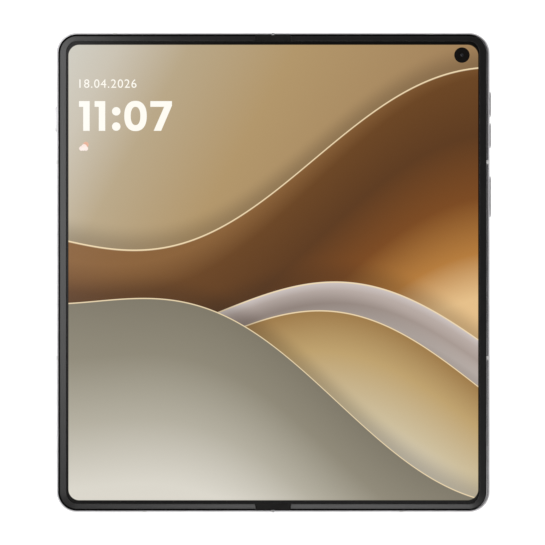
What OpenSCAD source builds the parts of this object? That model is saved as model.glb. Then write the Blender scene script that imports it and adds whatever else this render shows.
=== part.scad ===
// A phone that folds like a book, lying open on its back.
// +X runs across the fold, +Y along it and +Z out of the folding display.
// X = 0 and Y = 0 are the middle of the fold, and Z = 0 is the face of the camera lens rings.
// Each half is drawn once for the right side, and the left one mirrors it.

/* [Overall size] */
// Width across the open phone, without its keys
open_w = 144.5; // [130:0.5:180]
// Height along the fold
body_h = 160; // [140:0.5:200]
// Thickness of one half, from its back cover to its bezel
body_t = 4.6; // [4.5:0.1:6]
// Radius of the frame's corners, seen from the front
corner_r = 6.9; // [5:0.1:12]
// Height of the camera island and its lens rings on the back cover
island_proud = 2.2; // [1.8:0.1:4]

/* [Frame and covers] */
// Thickness of the frame's outer wall
frame_wall = 1.3; // [1.2:0.05:1.4]
// Width of the metal rim that shows beside the covers
rim_w = 0.8; // [0.7:0.05:1]
// Radius of the rim's rounded edges
rim_r = 0.7; // [0.2:0.05:0.7]
// How far the rim lies below the bezel and above the back cover's face
rim_drop = 0.1; // [0:0.05:0.2]
// Thickness of the back cover and of the outer display's glass
cover_t = 0.6; // [0.4:0.05:0.8]
// Thickness of the frame's plate that carries the folding display
web_t = 0.4; // [0.3:0.05:0.6]
// Width of the ledge that the covers are bonded to
ledge_w = 1; // [0.8:0.1:1.2]
// Thickness of that ledge, and of the floor beside the hinge
ledge_t = 0.4; // [0.3:0.05:0.5]
// Width of an antenna band in the frame
band_w = 1.3; // [0.8:0.1:2]
// Gap between the frame's rim and a cover or bezel
slit = 0.05; // [0.02:0.01:0.08]

/* [Folding display] */
// Thickness of the folding display with its backing plate
panel_t = 0.75; // [0.6:0.05:0.9]
// Distance from the outside of the frame to the edge of the display panel
panel_inset = 2.2; // [2.1:0.05:3]
// Distance from the outside of the frame to the inner edge of the bezel
bezel_inset = 3.05; // [2.8:0.05:4]
// Height of the bezel above the display
bezel_rise = 0.45; // [0.3:0.05:0.6]
// Half the width of the part of the display that bends
fold_half = 6; // [5.5:0.5:7]
// Radius of the camera hole in the display
eye_r = 2.5; // [1.5:0.1:2.6]
// Distance of the camera hole from the outside of the right side
eye_from_side = 9.25; // [8:0.25:20]
// Distance of the camera hole from the outside of the top
eye_from_top = 7.5; // [7:0.25:9]

/* [Hinge] */
// Gap between the two bezels when the phone is closed
fold_gap = 0.5; // [0.3:0.05:0.8]
// Depth of the two fold axes below the top of the bezel
axis_depth = 1.15; // [1.1:0.05:1.15]
// Running gap between the hinge spine and the closing covers
spine_clear = 0.1; // [0.1:0.05:0.2]
// Thickness of the hinge spine's wall
spine_wall = 0.4; // [0.3:0.05:0.45]
// Length of a swing arm along the fold
arm_len = 3.2; // [2.5:0.1:5]
// Thickness of a swing arm's curved rib
rib_t = 0.7; // [0.5:0.05:0.75]
// Running gap between a swing arm's rib and its groove
run_gap = 0.05; // [0.03:0.01:0.06]
// Distance of each swing arm base from the top or bottom of the phone
base_from_end = 18; // [14:0.5:26]
// Pitch radius of the four gears that tie the halves together
gear_r = 0.75; // [0.7:0.01:0.76]
// Number of teeth on each gear
gear_teeth = 12; // [12:4:12]

/* [Keys and sockets] */
// Length of the power key
power_len = 13.6; // [10:0.1:16]
// Length of each volume key and of the assist key
key_len = 8.3; // [6:0.1:10]
// Height of the keys across the frame's side
key_h = 1.5; // [1:0.1:1.6]
// How far the keys stand out of the frame
key_proud = 0.5; // [0.3:0.05:0.8]
// How far a key travels when it is pressed
key_travel = 0.3; // [0.1:0.05:0.3]
// Width of the opening in the charging socket
usb_open_w = 8.34; // [8.3:0.01:8.5]
// Height of the opening in the charging socket
usb_open_h = 2.56; // [2.4:0.01:2.6]
// Distance of the charging socket from the fold
usb_from_fold = 36; // [32:0.5:40]
// Distance of the card tray from the outside of the right side
tray_from_side = 13.25; // [12:0.25:16]

/* [Rear cameras] */
// Side of the square camera island
island_w = 34; // [32:0.5:36]
// Corner radius of the camera island
island_r = 9; // [4:0.5:12]
// Distance of the island from the outside of the frame
island_from_edge = 5.5; // [5:0.5:8]
// Radius of a lens glass
lens_r = 5.2; // [4.5:0.1:5.4]
// Width of the ring round a lens glass
lens_ring_w = 1.1; // [0.6:0.1:1.4]

/* [Hidden] */
$fn = 64;

// Edges of the open phone
xo = open_w / 2;
yo = body_h / 2;
big = 4 * body_t;
eps = 0.1;

// Heights of the layers, from the back to the front
z_back = island_proud;
z_inside = z_back + cover_t;
z_top = z_back + body_t;
z_screen = z_top - bezel_rise;
z_panel = z_screen - panel_t;
z_web = z_panel - web_t;
z_rim_low = z_back + rim_drop;
z_rim_top = z_top - rim_drop;
z_ledge = z_inside + ledge_t;

// Fold axes, at (-axis_x, z_axis) and (axis_x, z_axis)
z_axis = z_top - axis_depth;
axis_x = axis_depth + fold_gap / 2;
end_r = axis_x - slit;

// Hinge spine: outer radius about the fold axes, and the height of its open edges
spine_r = z_axis - z_inside - spine_clear;
spine_in_r = spine_r - spine_wall;
spine_edge = 1.3;
spine_end_gap = 0.15;
spine_half_h = yo - frame_wall - spine_end_gap;
spine_cap_t = 0.8;
spine_trough_h = spine_half_h - spine_cap_t;

// Swing arms: a rib that runs in a groove about the fold axis, and a flat bar to the frame
base_floor = 0.25;
rib_ro = spine_in_r - base_floor - run_gap;
rib_ri = rib_ro - rib_t;
bar_low = 1.2;
bar_high = 0.8;
bar_from = 0.9;
rib_tail_angle = 25;
base_top = 0.55;
cheek_t = 0.8;
side_gap = 0.1;
slot_len = arm_len + 2 * side_gap;
base_len = 2 * slot_len + 3 * cheek_t;
base_y = yo - base_from_end;
spring_t = 0.1;
spring_room = 0.12;
spring_half_angle = 16;

// Hinge side of a half: beam beside the spine, inner wall of the parts bay, wing pivot
mid_gap = 0.05;
beam_x = axis_x + spine_r + spine_clear + slit;
beam_t = 0.8;
z_beam = z_axis - bar_low;
lip_x = beam_x + beam_t;
wall_x = beam_x + 3.9;
wall_t = 0.8;
bay_x = wall_x + wall_t;
pad_len = 4;
pad_x = wall_x + 0.2;
pad_end = pad_x + pad_len;
bay_gap = 0.5;
bay_x0 = pad_end + bay_gap;

// Wing plates under the bending part of the display
wing_t = 0.4;
wing_drop = 0.05;
z_wing = z_panel - wing_drop - wing_t;
wing_x0 = axis_x + 0.5;
wing_barrel_r = 0.25;
wing_x1 = wall_x - 0.5;
z_wing_pin = z_panel - wing_barrel_r - 0.03;
wing_pin_r = 0.2;
wing_pin_gap = 0.05;
wing_half_h = yo - frame_wall - 1.7;
wing_pin_len = 1;
lug_t = 1.3;
lug_w = 0.55;
wing_notch_x = wing_x1 - 2;
wing_sync_x = wing_x1 - 0.6;
notch_gap = 0.6;
plate_half_w = axis_x + 0.4;
stem_half_w = 0.3;

// Gears in a row across the spine, each a pitch diameter from the next
module_mm = 2 * gear_r / gear_teeth;
tip_r = gear_r + module_mm;
root_r = gear_r - 1.25 * module_mm;
tooth_tip_half = 0.035;
tooth_root_half = 0.1;
z_gear = z_panel - 0.1 - tip_r;
gear_x = 3 * gear_r;
idler_x = gear_r;
shaft_r = 0.3;
shaft_gap = 0.03;
gear_len = 2.2;
gear_y0 = -1.8;
lever_y0 = gear_y0 + gear_len + 0.2;
lever_len = 1.2;
hub_r = 0.55;
gear_end = lever_y0 + lever_len;
gear_cheek_y = gear_end + side_gap;
gear_base_y0 = gear_y0 - side_gap - cheek_t;
gear_base_len = gear_cheek_y + cheek_t - gear_base_y0;
shafts_x = [-gear_x, -idler_x, idler_x, gear_x];
gear_floor_t = 0.3;
lever_t = 0.25;
lever_pin_r = 0.25;
lever_lug_r = 0.4;
lever_pin_x = wall_x - 0.6;
z_lever_pin = z_beam - 0.05;
slot_room = 0.08;
bracket_t = 0.8;
bracket_gap = 0.1;
bracket_x0 = beam_x + 0.8;
bracket_x1 = wall_x;
z_bracket = z_panel - 0.6;
beam_notch = 1;
sync_half_len = gear_cheek_y + bracket_t + notch_gap;

// The sync arm's pin runs on a quarter circle about this point of the half
arc_x = lever_pin_x - gear_x + axis_x;
z_arc = z_lever_pin - z_gear + z_axis;
arc_r = norm([gear_x - axis_x, z_gear - z_axis]);
arc_from = atan2(z_gear - z_axis, gear_x - axis_x);

// Flex cables across the fold
flex_t = 0.12;
flex_w = 10;
flex_y = [base_y - 38, base_y - 22];
flex_gap = 0.5;
flex_end = bay_x0 + 3;
z_flex_low = z_axis - spine_in_r + 0.3;

// Bezel: its slopes and its foot beside the panel
bezel_out = rim_w + slit;
bezel_slope_out = 0.4;
bezel_slope_in = 0.25;
bezel_edge = 0.15;
cap_drop = 0.1;
cap_gap = 0.05;

// Parts bay of each half
bay_side = frame_wall + ledge_w + 0.3;
bay_x1 = xo - bay_side;
bay_y = yo - bay_side;
board_t = 0.8;
z_board = z_web - board_t;
battery_low = 0.35;
coil_t = 0.3;
z_battery = z_inside + battery_low;
lower_zone = 30;
board_gap = 1;
battery_y0 = -yo + lower_zone;
battery_y1 = flex_y[0] - 4;
board_y0 = battery_y1 + board_gap;
part_low = 0.1;
z_part = z_ledge + part_low;

// Keys, centred on the frame's side, measured from the top of the phone
z_key = z_back + 2.05;
key_gap = 0.05;
key_flange = 0.5;
key_flange_extra = 0.15;
volume_up_y = yo - 23.9;
volume_down_y = yo - 34.3;
power_y = yo - 54.7;
assist_y = yo - 28.8;
switch_t = 0.3;
switch_bump = 0.2;
switch_inset = frame_wall + key_gap + key_flange + key_travel + 0.05;
switch_strip_inset = switch_inset + switch_bump;
switch_margin = 3;
board_x1 = xo - switch_strip_inset - switch_t - board_gap;

// Antenna bands: distances from the top, the bottom and the sides of the phone
side_band_y = [yo - 43.2, -yo + 51.5];
top_band_x = xo - 19.55;
bottom_band_x = xo - 29.45;

// Charging socket, card tray, speaker and microphone holes
usb_shell = 0.1;
usb_w = usb_open_w + 2 * usb_shell;
usb_h = usb_open_h + 2 * usb_shell;
usb_len = 7;
usb_recess = 0.35;
usb_gap = 0.05;
usb_pocket = 0.3;
z_usb = (z_inside + z_panel) / 2;
tongue_w = 6.69;
tongue_t = 0.7;
tongue_len = 4.45;
tray_x = xo - tray_from_side;
tray_head_w = 11;
tray_head_h = 1.5;
tray_body_w = 9.6;
tray_body_t = 0.7;
tray_len = 14;
tray_gap = 0.05;
tray_rim = 1;
eject_r = 0.4;
eject_x = tray_head_w / 2 - 1.2;
usb_board_w = 24;
speaker_w = 10;
speaker_x = bay_x0 + speaker_w / 2;
speaker_hole_r = 0.55;
speaker_holes = 5;
speaker_pitch = 1.75;
mic_x = 19.8;
mic_r = 0.35;
earpiece_x = 40;
earpiece_slot = 7;
earpiece_slot_h = 0.6;

// Rear cameras on the island
island_x = xo - island_from_edge - island_w / 2;
island_y = yo - island_from_edge - island_w / 2;
ring_proud = 0.5;
glass_drop = 0.12;
glass_t = 0.5;
glass_gap = 0.05;
lens_spread = 8;
barrel_gap = 0.1;
barrel_r = lens_r - 1;
body_w = 10.5;
camera_floor = 0.05;
z_camera = z_inside + camera_floor;
lens_at = [[-lens_spread, lens_spread], [-lens_spread, -lens_spread], [lens_spread, 0]];
flash_at = [lens_spread + 1, lens_spread + 3];
flash_r = 1.7;
flash_t = 0.6;
eye_x = xo - eye_from_side;
eye_y = yo - eye_from_top;
eye_body_r = 2.9;
eye_gap = 0.05;
eye_nose_drop = 0.15;

// Screws, whose heads hang in the parts bay
screw_r = 0.5;
screw_gap = 0.05;
screw_head_r = 0.9;
screw_head_t = 0.35;
screw_tip_drop = 0.1;
arm_screw_x = pad_x + 2.6;
board_screws = [[bay_x0 + 2, board_y0 + 2], [bay_x0 + 2, yo - bay_side - 2], [bay_x1 - 3, board_y0 + 2]];

// Small inner parts
magnet_inset = frame_wall + 0.05;
magnet_w = 0.9;
magnet_len = 10;
magnet_y = [-10, 20 - yo];
coil_ro = min(22, (battery_y1 - battery_y0) / 2);
coil_ri = 10;
coil_y = (battery_y0 + battery_y1) / 2;
motor_w = 12;
motor_h = 9;
outer_panel_t = 0.5;
outer_panel_edge = 0.3;
z_left_part = z_inside + outer_panel_t + part_low;
outer_eye_x = 36;
outer_eye_body_r = 2.6;
earpiece_w = 12;
earpiece_h = 6;

// ---- Shared shapes ----

// Draws its children on the right half, or mirrored on the left half
module on_side(side) {
    if (side > 0) children();
    else mirror([1, 0, 0]) children();
}

// Pulls an outline in X and Z out along Y, from y0 over len
module along_y(y0, len) {
    translate([0, y0 + len, 0]) rotate([90, 0, 0]) linear_extrude(len) children();
}

// Pulls an outline in Y and Z out along X, from x0 over len
module along_x(x0, len) {
    translate([x0, 0, 0]) rotate([90, 0, 90]) linear_extrude(len) children();
}

// A box between two corners
module block(low, high) {
    translate(low) cube(high - low);
}

// A box centred in X and Y, from z0 to z1
module slab(at, size, z0, z1) {
    translate([at[0] - size[0] / 2, at[1] - size[1] / 2, z0]) cube([size[0], size[1], z1 - z0]);
}

// A round bar along Y
module bar_y(x, z, r, y0, len) {
    translate([x, y0 + len, z]) rotate([90, 0, 0]) cylinder(h = len, r = r);
}

// Outline of the right half, drawn in from the frame's outside, from x_in outwards
module half_outline(inset, x_in) {
    r = corner_r - inset;
    x = xo - inset;
    y = yo - inset;
    translate([x_in, -y]) square([x - r - x_in, 2 * y]);
    translate([x_in, r - y]) square([x - x_in, 2 * (y - r)]);
    for (s = [-1, 1]) translate([x - r, s * (y - r)]) circle(r);
}

// Sweeps a section, drawn inwards from the frame's outside, round the right half from x_in
module around_half(x_in) {
    side = body_h - 2 * corner_r;
    ends = xo - corner_r - x_in;
    translate([xo, 0, 0]) mirror([1, 0, 0]) along_y(-side / 2, side) children();
    for (s = [0, 1]) mirror([0, s, 0]) {
        translate([0, yo, 0]) mirror([0, 1, 0]) along_x(x_in, ends) children();
        translate([xo - corner_r, yo - corner_r, 0]) rotate_extrude(angle = 90)
            translate([corner_r, 0]) mirror([1, 0]) children();
    }
}

// Section of the frame's outer wall, with its two rounded outer edges
module rail_section() {
    difference() {
        union() {
            translate([0, z_rim_low]) square([rim_w, z_rim_top - z_rim_low]);
            translate([0, z_inside]) square([frame_wall, z_screen - z_inside]);
        }
        for (edge = [[z_rim_low, 1], [z_rim_top, -1]]) translate([0, edge[0]]) scale([1, edge[1]])
            difference() {
                translate([-eps, -eps]) square(rim_r + eps);
                translate([rim_r, rim_r]) circle(rim_r);
            }
    }
}

module bezel_section() {
    polygon([
        [bezel_out, z_screen], [bezel_inset, z_screen], [bezel_inset, z_screen + bezel_edge],
        [bezel_inset - bezel_slope_in, z_top], [bezel_out + bezel_slope_out, z_top],
        [bezel_out, z_screen + bezel_edge],
    ]);
    translate([frame_wall + slit, z_panel])
        square([panel_inset - frame_wall - 2 * slit, z_screen - z_panel + eps]);
}

// Section across the spine, inside radius r about both fold axes, up to height z_limit
module spine_section(r, z_limit) {
    intersection() {
        union() {
            for (s = [-1, 1]) translate([s * axis_x, z_axis]) circle(r);
            translate([-axis_x, z_axis - r]) square([2 * axis_x, r]);
        }
        translate([-xo, 0]) square([2 * xo, z_limit]);
    }
}

// ---- The two halves ----

module screw_hole(x, y) {
    translate([x, y, z_board - eps]) cylinder(h = z_panel - z_board + 2 * eps, r = screw_r + screw_gap);
}

function arm_y(side, end) =
    end > 0 ? base_y + (side > 0 ? -1 : 1) * (slot_len + cheek_t) / 2
            : -base_y + (side > 0 ? -1 : 1) * (slot_len + cheek_t) / 2;

function arm_screws(side) = [for (end = [-1, 1]) [arm_screw_x, arm_y(side, end)]];

// Quarter-circle slot for the sync arm's pin, as an outline in X and Z
module pin_slot() {
    w = lever_pin_r + slot_room;
    reach = 2 * (arc_r + w);
    translate([arc_x, z_arc]) {
        difference() {
            circle(arc_r + w);
            circle(arc_r - w);
            rotate(arc_from) square([reach, reach]);
            rotate(arc_from) translate([-reach, 0]) square([reach, reach]);
            rotate(arc_from) translate([0, -eps]) square([reach, 2 * eps]);
            rotate(arc_from) translate([-reach, -reach]) square([reach, reach + eps]);
        }
        for (a = [arc_from, arc_from - 90]) rotate(a) translate([arc_r, 0]) circle(w);
    }
}

module sync_bracket(y0) {
    difference() {
        block([bracket_x0, y0, z_ledge - eps], [bracket_x1 + eps, y0 + bracket_t, z_bracket]);
        along_y(y0 - eps, bracket_t + 2 * eps) pin_slot();
    }
}

// Frame of one half before its own cuts: wall, display plate, beam, floor and brackets
module frame_shell(side) {
    lug_y = wing_half_h + 0.1;
    difference() {
        union() {
            around_half(mid_gap) rail_section();
            around_half(beam_x) translate([frame_wall - eps, z_inside]) square([ledge_w + eps, ledge_t]);
            translate([0, 0, z_web]) linear_extrude(web_t) half_outline(frame_wall - eps, wall_x);
            block([mid_gap, -yo + rim_w, z_back], [lip_x, yo - rim_w, z_inside]);
            block([beam_x, -yo + frame_wall, z_inside - eps], [lip_x, yo - frame_wall, z_beam]);
            block([beam_x, -yo + frame_wall, z_inside], [bay_x, yo - frame_wall, z_ledge]);
            block([wall_x, -yo + frame_wall, z_inside], [bay_x, yo - frame_wall, z_panel]);
            for (s = [0, 1]) mirror([0, s, 0])
                block([wing_x1 - lug_w, lug_y, z_inside + eps],
                    [wall_x + eps, yo - frame_wall + eps, z_panel]);
            sync_bracket(lever_y0 - bracket_gap - bracket_t);
            sync_bracket(gear_end + bracket_gap);
        }
        // The ends of the rails are round about the fold axis, so that the halves roll past each other
        difference() {
            block([-eps, -yo - eps, z_axis], [axis_x, yo + eps, z_top + eps]);
            bar_y(axis_x, z_axis, end_r, -yo - 2 * eps, 2 * yo + 4 * eps);
        }
        // Openings for the swing arms and the flex cables, and room for the sync lever
        for (end = [-1, 1])
            block([lip_x + eps, arm_y(side, end) - slot_len / 2, z_beam - flex_gap],
                [bay_x + eps, arm_y(side, end) + slot_len / 2, z_web]);
        for (y = flex_y)
            block([lip_x, y - flex_gap, z_board - 2 * flex_gap], [bay_x + eps, y + flex_w + flex_gap, z_web]);
        block([beam_x - eps, lever_y0 - bracket_gap, z_beam - beam_notch],
            [lip_x + eps, gear_end + bracket_gap, z_beam + eps]);
        for (at = arm_screws(side)) screw_hole(at[0], at[1]);
        for (s = [0, 1]) mirror([0, s, 0])
            bar_y(wing_x1, z_wing_pin, wing_pin_r + wing_pin_gap, lug_y - eps, lug_t + eps);
    }
}

// Boxes where the antenna bands cross the frame's wall
module band_boxes(clear) {
    w = band_w + clear;
    for (y = side_band_y) block([xo - frame_wall, y - w / 2, 0], [xo + eps, y + w / 2, z_top + eps]);
    block([top_band_x - w / 2, yo - frame_wall, 0], [top_band_x + w / 2, yo + eps, z_top + eps]);
    block([bottom_band_x - w / 2, -yo - eps, 0], [bottom_band_x + w / 2, -yo + frame_wall, z_top + eps]);
}

module bands(side) {
    on_side(side) intersection() {
        around_half(mid_gap) rail_section();
        band_boxes(0);
    }
}

// Opening for a key through the frame's side
module key_slot(y, len) {
    block([xo - frame_wall - eps, y - len / 2 - key_gap, z_key - key_h / 2 - key_gap],
        [xo + eps, y + len / 2 + key_gap, z_key + key_h / 2 + key_gap]);
}

module stadium(w, h) {
    for (s = [-1, 1]) translate([s * (w - h) / 2, 0]) circle(h / 2);
    square([w - h, h], center = true);
}

module right_frame() {
    color("#dcdad6") difference() {
        frame_shell(1);
        band_boxes(0);
        key_slot(volume_up_y, key_len);
        key_slot(volume_down_y, key_len);
        key_slot(power_y, power_len);
        // Charging socket: its mouth in the wall, and a pocket through ledge and plate
        along_y(-yo - eps, frame_wall + 2 * eps)
            translate([usb_from_fold, z_usb]) stadium(usb_w + 2 * usb_gap, usb_h + 2 * usb_gap);
        usb_side = usb_w / 2 + usb_pocket;
        block([usb_from_fold - usb_side, -yo + frame_wall, z_inside - eps],
            [usb_from_fold + usb_side, -yo + usb_recess + usb_len + usb_pocket, z_panel + eps]);
        // Slot for the head of the card tray
        tray_w = tray_head_w / 2 + tray_gap;
        tray_h = tray_head_h / 2 + tray_gap;
        block([tray_x - tray_w, -yo - eps, z_key - tray_h],
            [tray_x + tray_w, -yo + frame_wall + eps, z_key + tray_h]);
        for (i = [0:speaker_holes - 1])
            bar_y(speaker_x + (i - (speaker_holes - 1) / 2) * speaker_pitch, z_key, speaker_hole_r,
                -yo - eps, frame_wall + 2 * eps);
        bar_y(mic_x, z_key, mic_r, yo - frame_wall - eps, frame_wall + 2 * eps);
        translate([eye_x, eye_y, z_web - eps]) cylinder(h = web_t + 2 * eps, r = eye_body_r + eye_gap);
        for (at = board_screws) screw_hole(at[0], at[1]);
    }
}

module left_frame() {
    color("#dcdad6") on_side(-1) difference() {
        frame_shell(-1);
        band_boxes(0);
        key_slot(assist_y, key_len);
        along_y(yo - frame_wall - eps, frame_wall + 2 * eps)
            translate([earpiece_x, z_key]) stadium(earpiece_slot, earpiece_slot_h);
        bar_y(mic_x, z_key, mic_r, -yo - eps, frame_wall + 2 * eps);
    }
}

module right_antenna_bands() { color("#c9c7c3") bands(1); }

module left_antenna_bands() { color("#c9c7c3") bands(-1); }

module right_bezel() { color("#3a3a3a") around_half(fold_half) bezel_section(); }

module left_bezel() { color("#3a3a3a") on_side(-1) around_half(fold_half) bezel_section(); }

module cover() {
    translate([0, 0, z_back]) linear_extrude(cover_t) half_outline(rim_w + slit, lip_x + slit);
}

module right_back_cover() {
    color("#e9e4da") difference() {
        cover();
        for (at = lens_at) translate([island_x + at[0], island_y + at[1], 0])
            cylinder(h = z_inside + eps, r = barrel_r + barrel_gap);
    }
}

module outer_display_glass() { color("#15151a") on_side(-1) cover(); }

module outer_display_panel() {
    color("#202028") on_side(-1) translate([0, 0, z_inside]) linear_extrude(outer_panel_t) difference() {
        half_outline(frame_wall + ledge_w + outer_panel_edge, bay_x + outer_panel_edge);
        translate([outer_eye_x, eye_y]) circle(outer_eye_body_r + eye_gap);
    }
}

module display_right() {
    color("#a07a4a") difference() {
        translate([0, 0, z_panel]) linear_extrude(panel_t) half_outline(panel_inset, fold_half);
        translate([eye_x, eye_y, z_panel - eps]) cylinder(h = panel_t + 2 * eps, r = eye_r);
    }
}

module display_left() {
    color("#b0a694") on_side(-1) translate([0, 0, z_panel])
        linear_extrude(panel_t) half_outline(panel_inset, fold_half);
}

module display_fold() {
    color("#a89878") slab([0, 0], [2 * fold_half, body_h - 2 * panel_inset], z_panel, z_screen);
}

module hinge_caps() {
    color("#1c1c1c") for (s = [0, 1]) mirror([0, s, 0])
        block([cap_gap - fold_half, yo - bezel_inset, z_screen],
            [fold_half - cap_gap, yo - bezel_out, z_top - cap_drop]);
}

// ---- Cameras ----

module camera_island() {
    color("#d9d3c8") difference() {
        union() {
            translate([island_x, island_y, ring_proud]) linear_extrude(z_back - ring_proud) {
                square([island_w, island_w - 2 * island_r], center = true);
                square([island_w - 2 * island_r, island_w], center = true);
                for (sx = [-1, 1], sy = [-1, 1])
                    translate([sx, sy] * (island_w / 2 - island_r)) circle(island_r);
            }
            for (at = lens_at) translate([island_x + at[0], island_y + at[1], 0])
                cylinder(h = ring_proud + eps, r = lens_r + lens_ring_w);
        }
        for (at = lens_at) translate([island_x + at[0], island_y + at[1], 0]) {
            translate([0, 0, -eps]) cylinder(h = z_back + 2 * eps, r = barrel_r + barrel_gap);
            translate([0, 0, -eps]) cylinder(h = glass_drop + glass_t + eps, r = lens_r);
        }
        translate([island_x + flash_at[0], island_y + flash_at[1], 0])
            cylinder(h = ring_proud + flash_t, r = flash_r + glass_gap);
    }
}

module lens_glasses() {
    color("#0c0c10") for (at = lens_at) translate([island_x + at[0], island_y + at[1], glass_drop])
        cylinder(h = glass_t, r = lens_r - glass_gap);
}

module flash_lens() {
    color("#f4efdf") translate([island_x + flash_at[0], island_y + flash_at[1], ring_proud])
        cylinder(h = flash_t, r = flash_r);
}

module rear_camera(at) {
    x = island_x + at[0];
    y = island_y + at[1];
    color("#26262a") {
        translate([x, y, glass_drop + glass_t + barrel_gap])
            cylinder(h = z_camera - glass_drop - glass_t, r = barrel_r);
        slab([x, y], [body_w, body_w], z_camera, z_web);
    }
}

module main_camera() { rear_camera(lens_at[0]); }

module wide_camera() { rear_camera(lens_at[1]); }

module zoom_camera() { rear_camera(lens_at[2]); }

module display_camera() {
    color("#0b0b0d") translate([eye_x, eye_y, z_camera]) {
        cylinder(h = z_panel - z_camera, r = eye_body_r);
        cylinder(h = z_screen - eye_nose_drop - z_camera, r = eye_r - barrel_gap);
    }
}

module outer_camera() {
    color("#0b0b0d") on_side(-1) translate([outer_eye_x, eye_y, z_inside])
        cylinder(h = z_web - z_inside, r = outer_eye_body_r);
}

// ---- Inner parts of the right half ----

module main_board() {
    beside = island_x - island_w / 2 - board_gap;
    below = island_y - island_w / 2 - board_gap;
    color("#1f5a3a") difference() {
        translate([bay_x0, board_y0, z_board]) linear_extrude(board_t) {
            square([beside - bay_x0, bay_y - board_y0]);
            square([board_x1 - bay_x0, below - board_y0]);
        }
        for (at = board_screws) screw_hole(at[0], at[1]);
    }
}

module right_battery() {
    color("#2b2b2e") block([bay_x0, battery_y0, z_battery], [bay_x1, battery_y1, z_web]);
}

module charging_coil() {
    color("#b5713c") translate([(bay_x0 + bay_x1) / 2, coil_y, z_inside]) difference() {
        cylinder(h = coil_t, r = coil_ro);
        translate([0, 0, -eps]) cylinder(h = coil_t + 2 * eps, r = coil_ri);
    }
}

module usb_socket() {
    y0 = -yo + usb_recess;
    color("#b9b9bd") {
        difference() {
            along_y(y0, usb_len) translate([usb_from_fold, z_usb]) stadium(usb_w, usb_h);
            along_y(y0 - eps, usb_len - usb_shell + eps)
                translate([usb_from_fold, z_usb]) stadium(usb_open_w, usb_open_h);
        }
        slab([usb_from_fold, y0 + usb_len - tongue_len / 2 - usb_shell / 2], [tongue_w, tongue_len],
            z_usb - tongue_t / 2, z_usb + tongue_t / 2);
    }
}

module usb_board() {
    color("#1f5a3a") block([usb_from_fold - usb_board_w / 2, -yo + usb_recess + usb_len + slit, z_board],
        [usb_from_fold + usb_board_w / 2, battery_y0 - board_gap, z_web]);
}

module loudspeaker() {
    color("#2e2e30") block([bay_x0, -bay_y, z_part], [bay_x0 + speaker_w, battery_y0 - board_gap, z_web]);
}

module haptic_motor() {
    color("#9a9a9e") slab([bay_x1 - motor_w / 2 - board_gap, battery_y0 - board_gap - motor_h / 2],
        [motor_w, motor_h], z_part, z_web);
}

// A strip along the frame's side with a dome behind each key
module switch_strip(keys) {
    x = xo - switch_strip_inset;
    block([x - switch_t, min(keys) - switch_margin, z_part], [x, max(keys) + switch_margin, z_web]);
    for (key = keys) translate([x - eps, key, z_key]) rotate([0, 90, 0])
        cylinder(h = switch_bump + eps, r = key_h / 2);
}

module key_switches() {
    color("#caa46a") switch_strip([volume_up_y, volume_down_y, power_y]);
}

module assist_switch() { color("#caa46a") on_side(-1) switch_strip([assist_y]); }

module magnets(side) {
    on_side(side) for (y = magnet_y)
        block([xo - magnet_inset - magnet_w, y - magnet_len / 2, z_ledge],
            [xo - magnet_inset, y + magnet_len / 2, z_web]);
}

module right_magnets() { color("#8d8d92") magnets(1); }

module left_magnets() { color("#8d8d92") magnets(-1); }

// A screw from below: its head under z_seat, its shank up into the display plate
module screw(x, y, z_seat) {
    translate([x, y, z_seat - screw_head_t]) {
        cylinder(h = screw_head_t, r = screw_head_r);
        cylinder(h = screw_head_t + z_panel - screw_tip_drop - z_seat, r = screw_r);
    }
}

module right_screws() {
    color("#707074") {
        for (at = arm_screws(1)) screw(at[0], at[1], z_beam);
        for (at = board_screws) screw(at[0], at[1], z_board);
    }
}

module left_screws() {
    color("#707074") on_side(-1) for (at = arm_screws(-1)) screw(at[0], at[1], z_beam);
}

// ---- Inner parts of the left half ----

module left_battery() {
    color("#2b2b2e") on_side(-1) block([bay_x0, battery_y0, z_left_part], [bay_x1, battery_y1, z_web]);
}

module left_board() {
    color("#1f5a3a") on_side(-1)
        block([bay_x0, board_y0, z_board], [board_x1, eye_y - 2 * outer_eye_body_r, z_web]);
}

module earpiece() {
    color("#2e2e30") on_side(-1)
        slab([earpiece_x + earpiece_w, bay_y - earpiece_h / 2], [earpiece_w, earpiece_h], z_left_part, z_web);
}

// ---- Moving pieces in the frame's edge ----

// A key: its cap through the frame's side, and a flange that keeps it in
module key(y, len) {
    cap_x = xo - frame_wall - key_gap - eps;
    translate([cap_x, y, z_key]) rotate([90, 0, 90])
        linear_extrude(xo + key_proud - cap_x) stadium(len, key_h);
    slab([xo - frame_wall - key_gap - key_flange / 2, y], [key_flange, len + 2 * key_flange_extra],
        z_key - key_h / 2 - key_flange_extra, z_key + key_h / 2 + key_flange_extra);
}

module volume_up_key() { color("#d2d0cc") key(volume_up_y, key_len); }

module volume_down_key() { color("#d2d0cc") key(volume_down_y, key_len); }

module power_key() { color("#d2d0cc") key(power_y, power_len); }

module assist_key() { color("#d2d0cc") on_side(-1) key(assist_y, key_len); }

module card_tray() {
    inner_y = -yo + frame_wall;
    color("#d2d0cc") difference() {
        union() {
            block([tray_x - tray_head_w / 2, -yo, z_key - tray_head_h / 2],
                [tray_x + tray_head_w / 2, inner_y, z_key + tray_head_h / 2]);
            block([tray_x - tray_body_w / 2, inner_y - eps, z_key - tray_body_t / 2],
                [tray_x + tray_body_w / 2, -yo + tray_len, z_key + tray_body_t / 2]);
        }
        bar_y(tray_x + eject_x, z_key, eject_r, -yo - eps, frame_wall + 2 * eps);
        block([tray_x - tray_body_w / 2 + tray_rim, inner_y + tray_rim, z_key],
            [tray_x + tray_body_w / 2 - tray_rim, -yo + tray_len - tray_rim, z_key + tray_body_t]);
    }
}

// ---- Hinge ----

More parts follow.
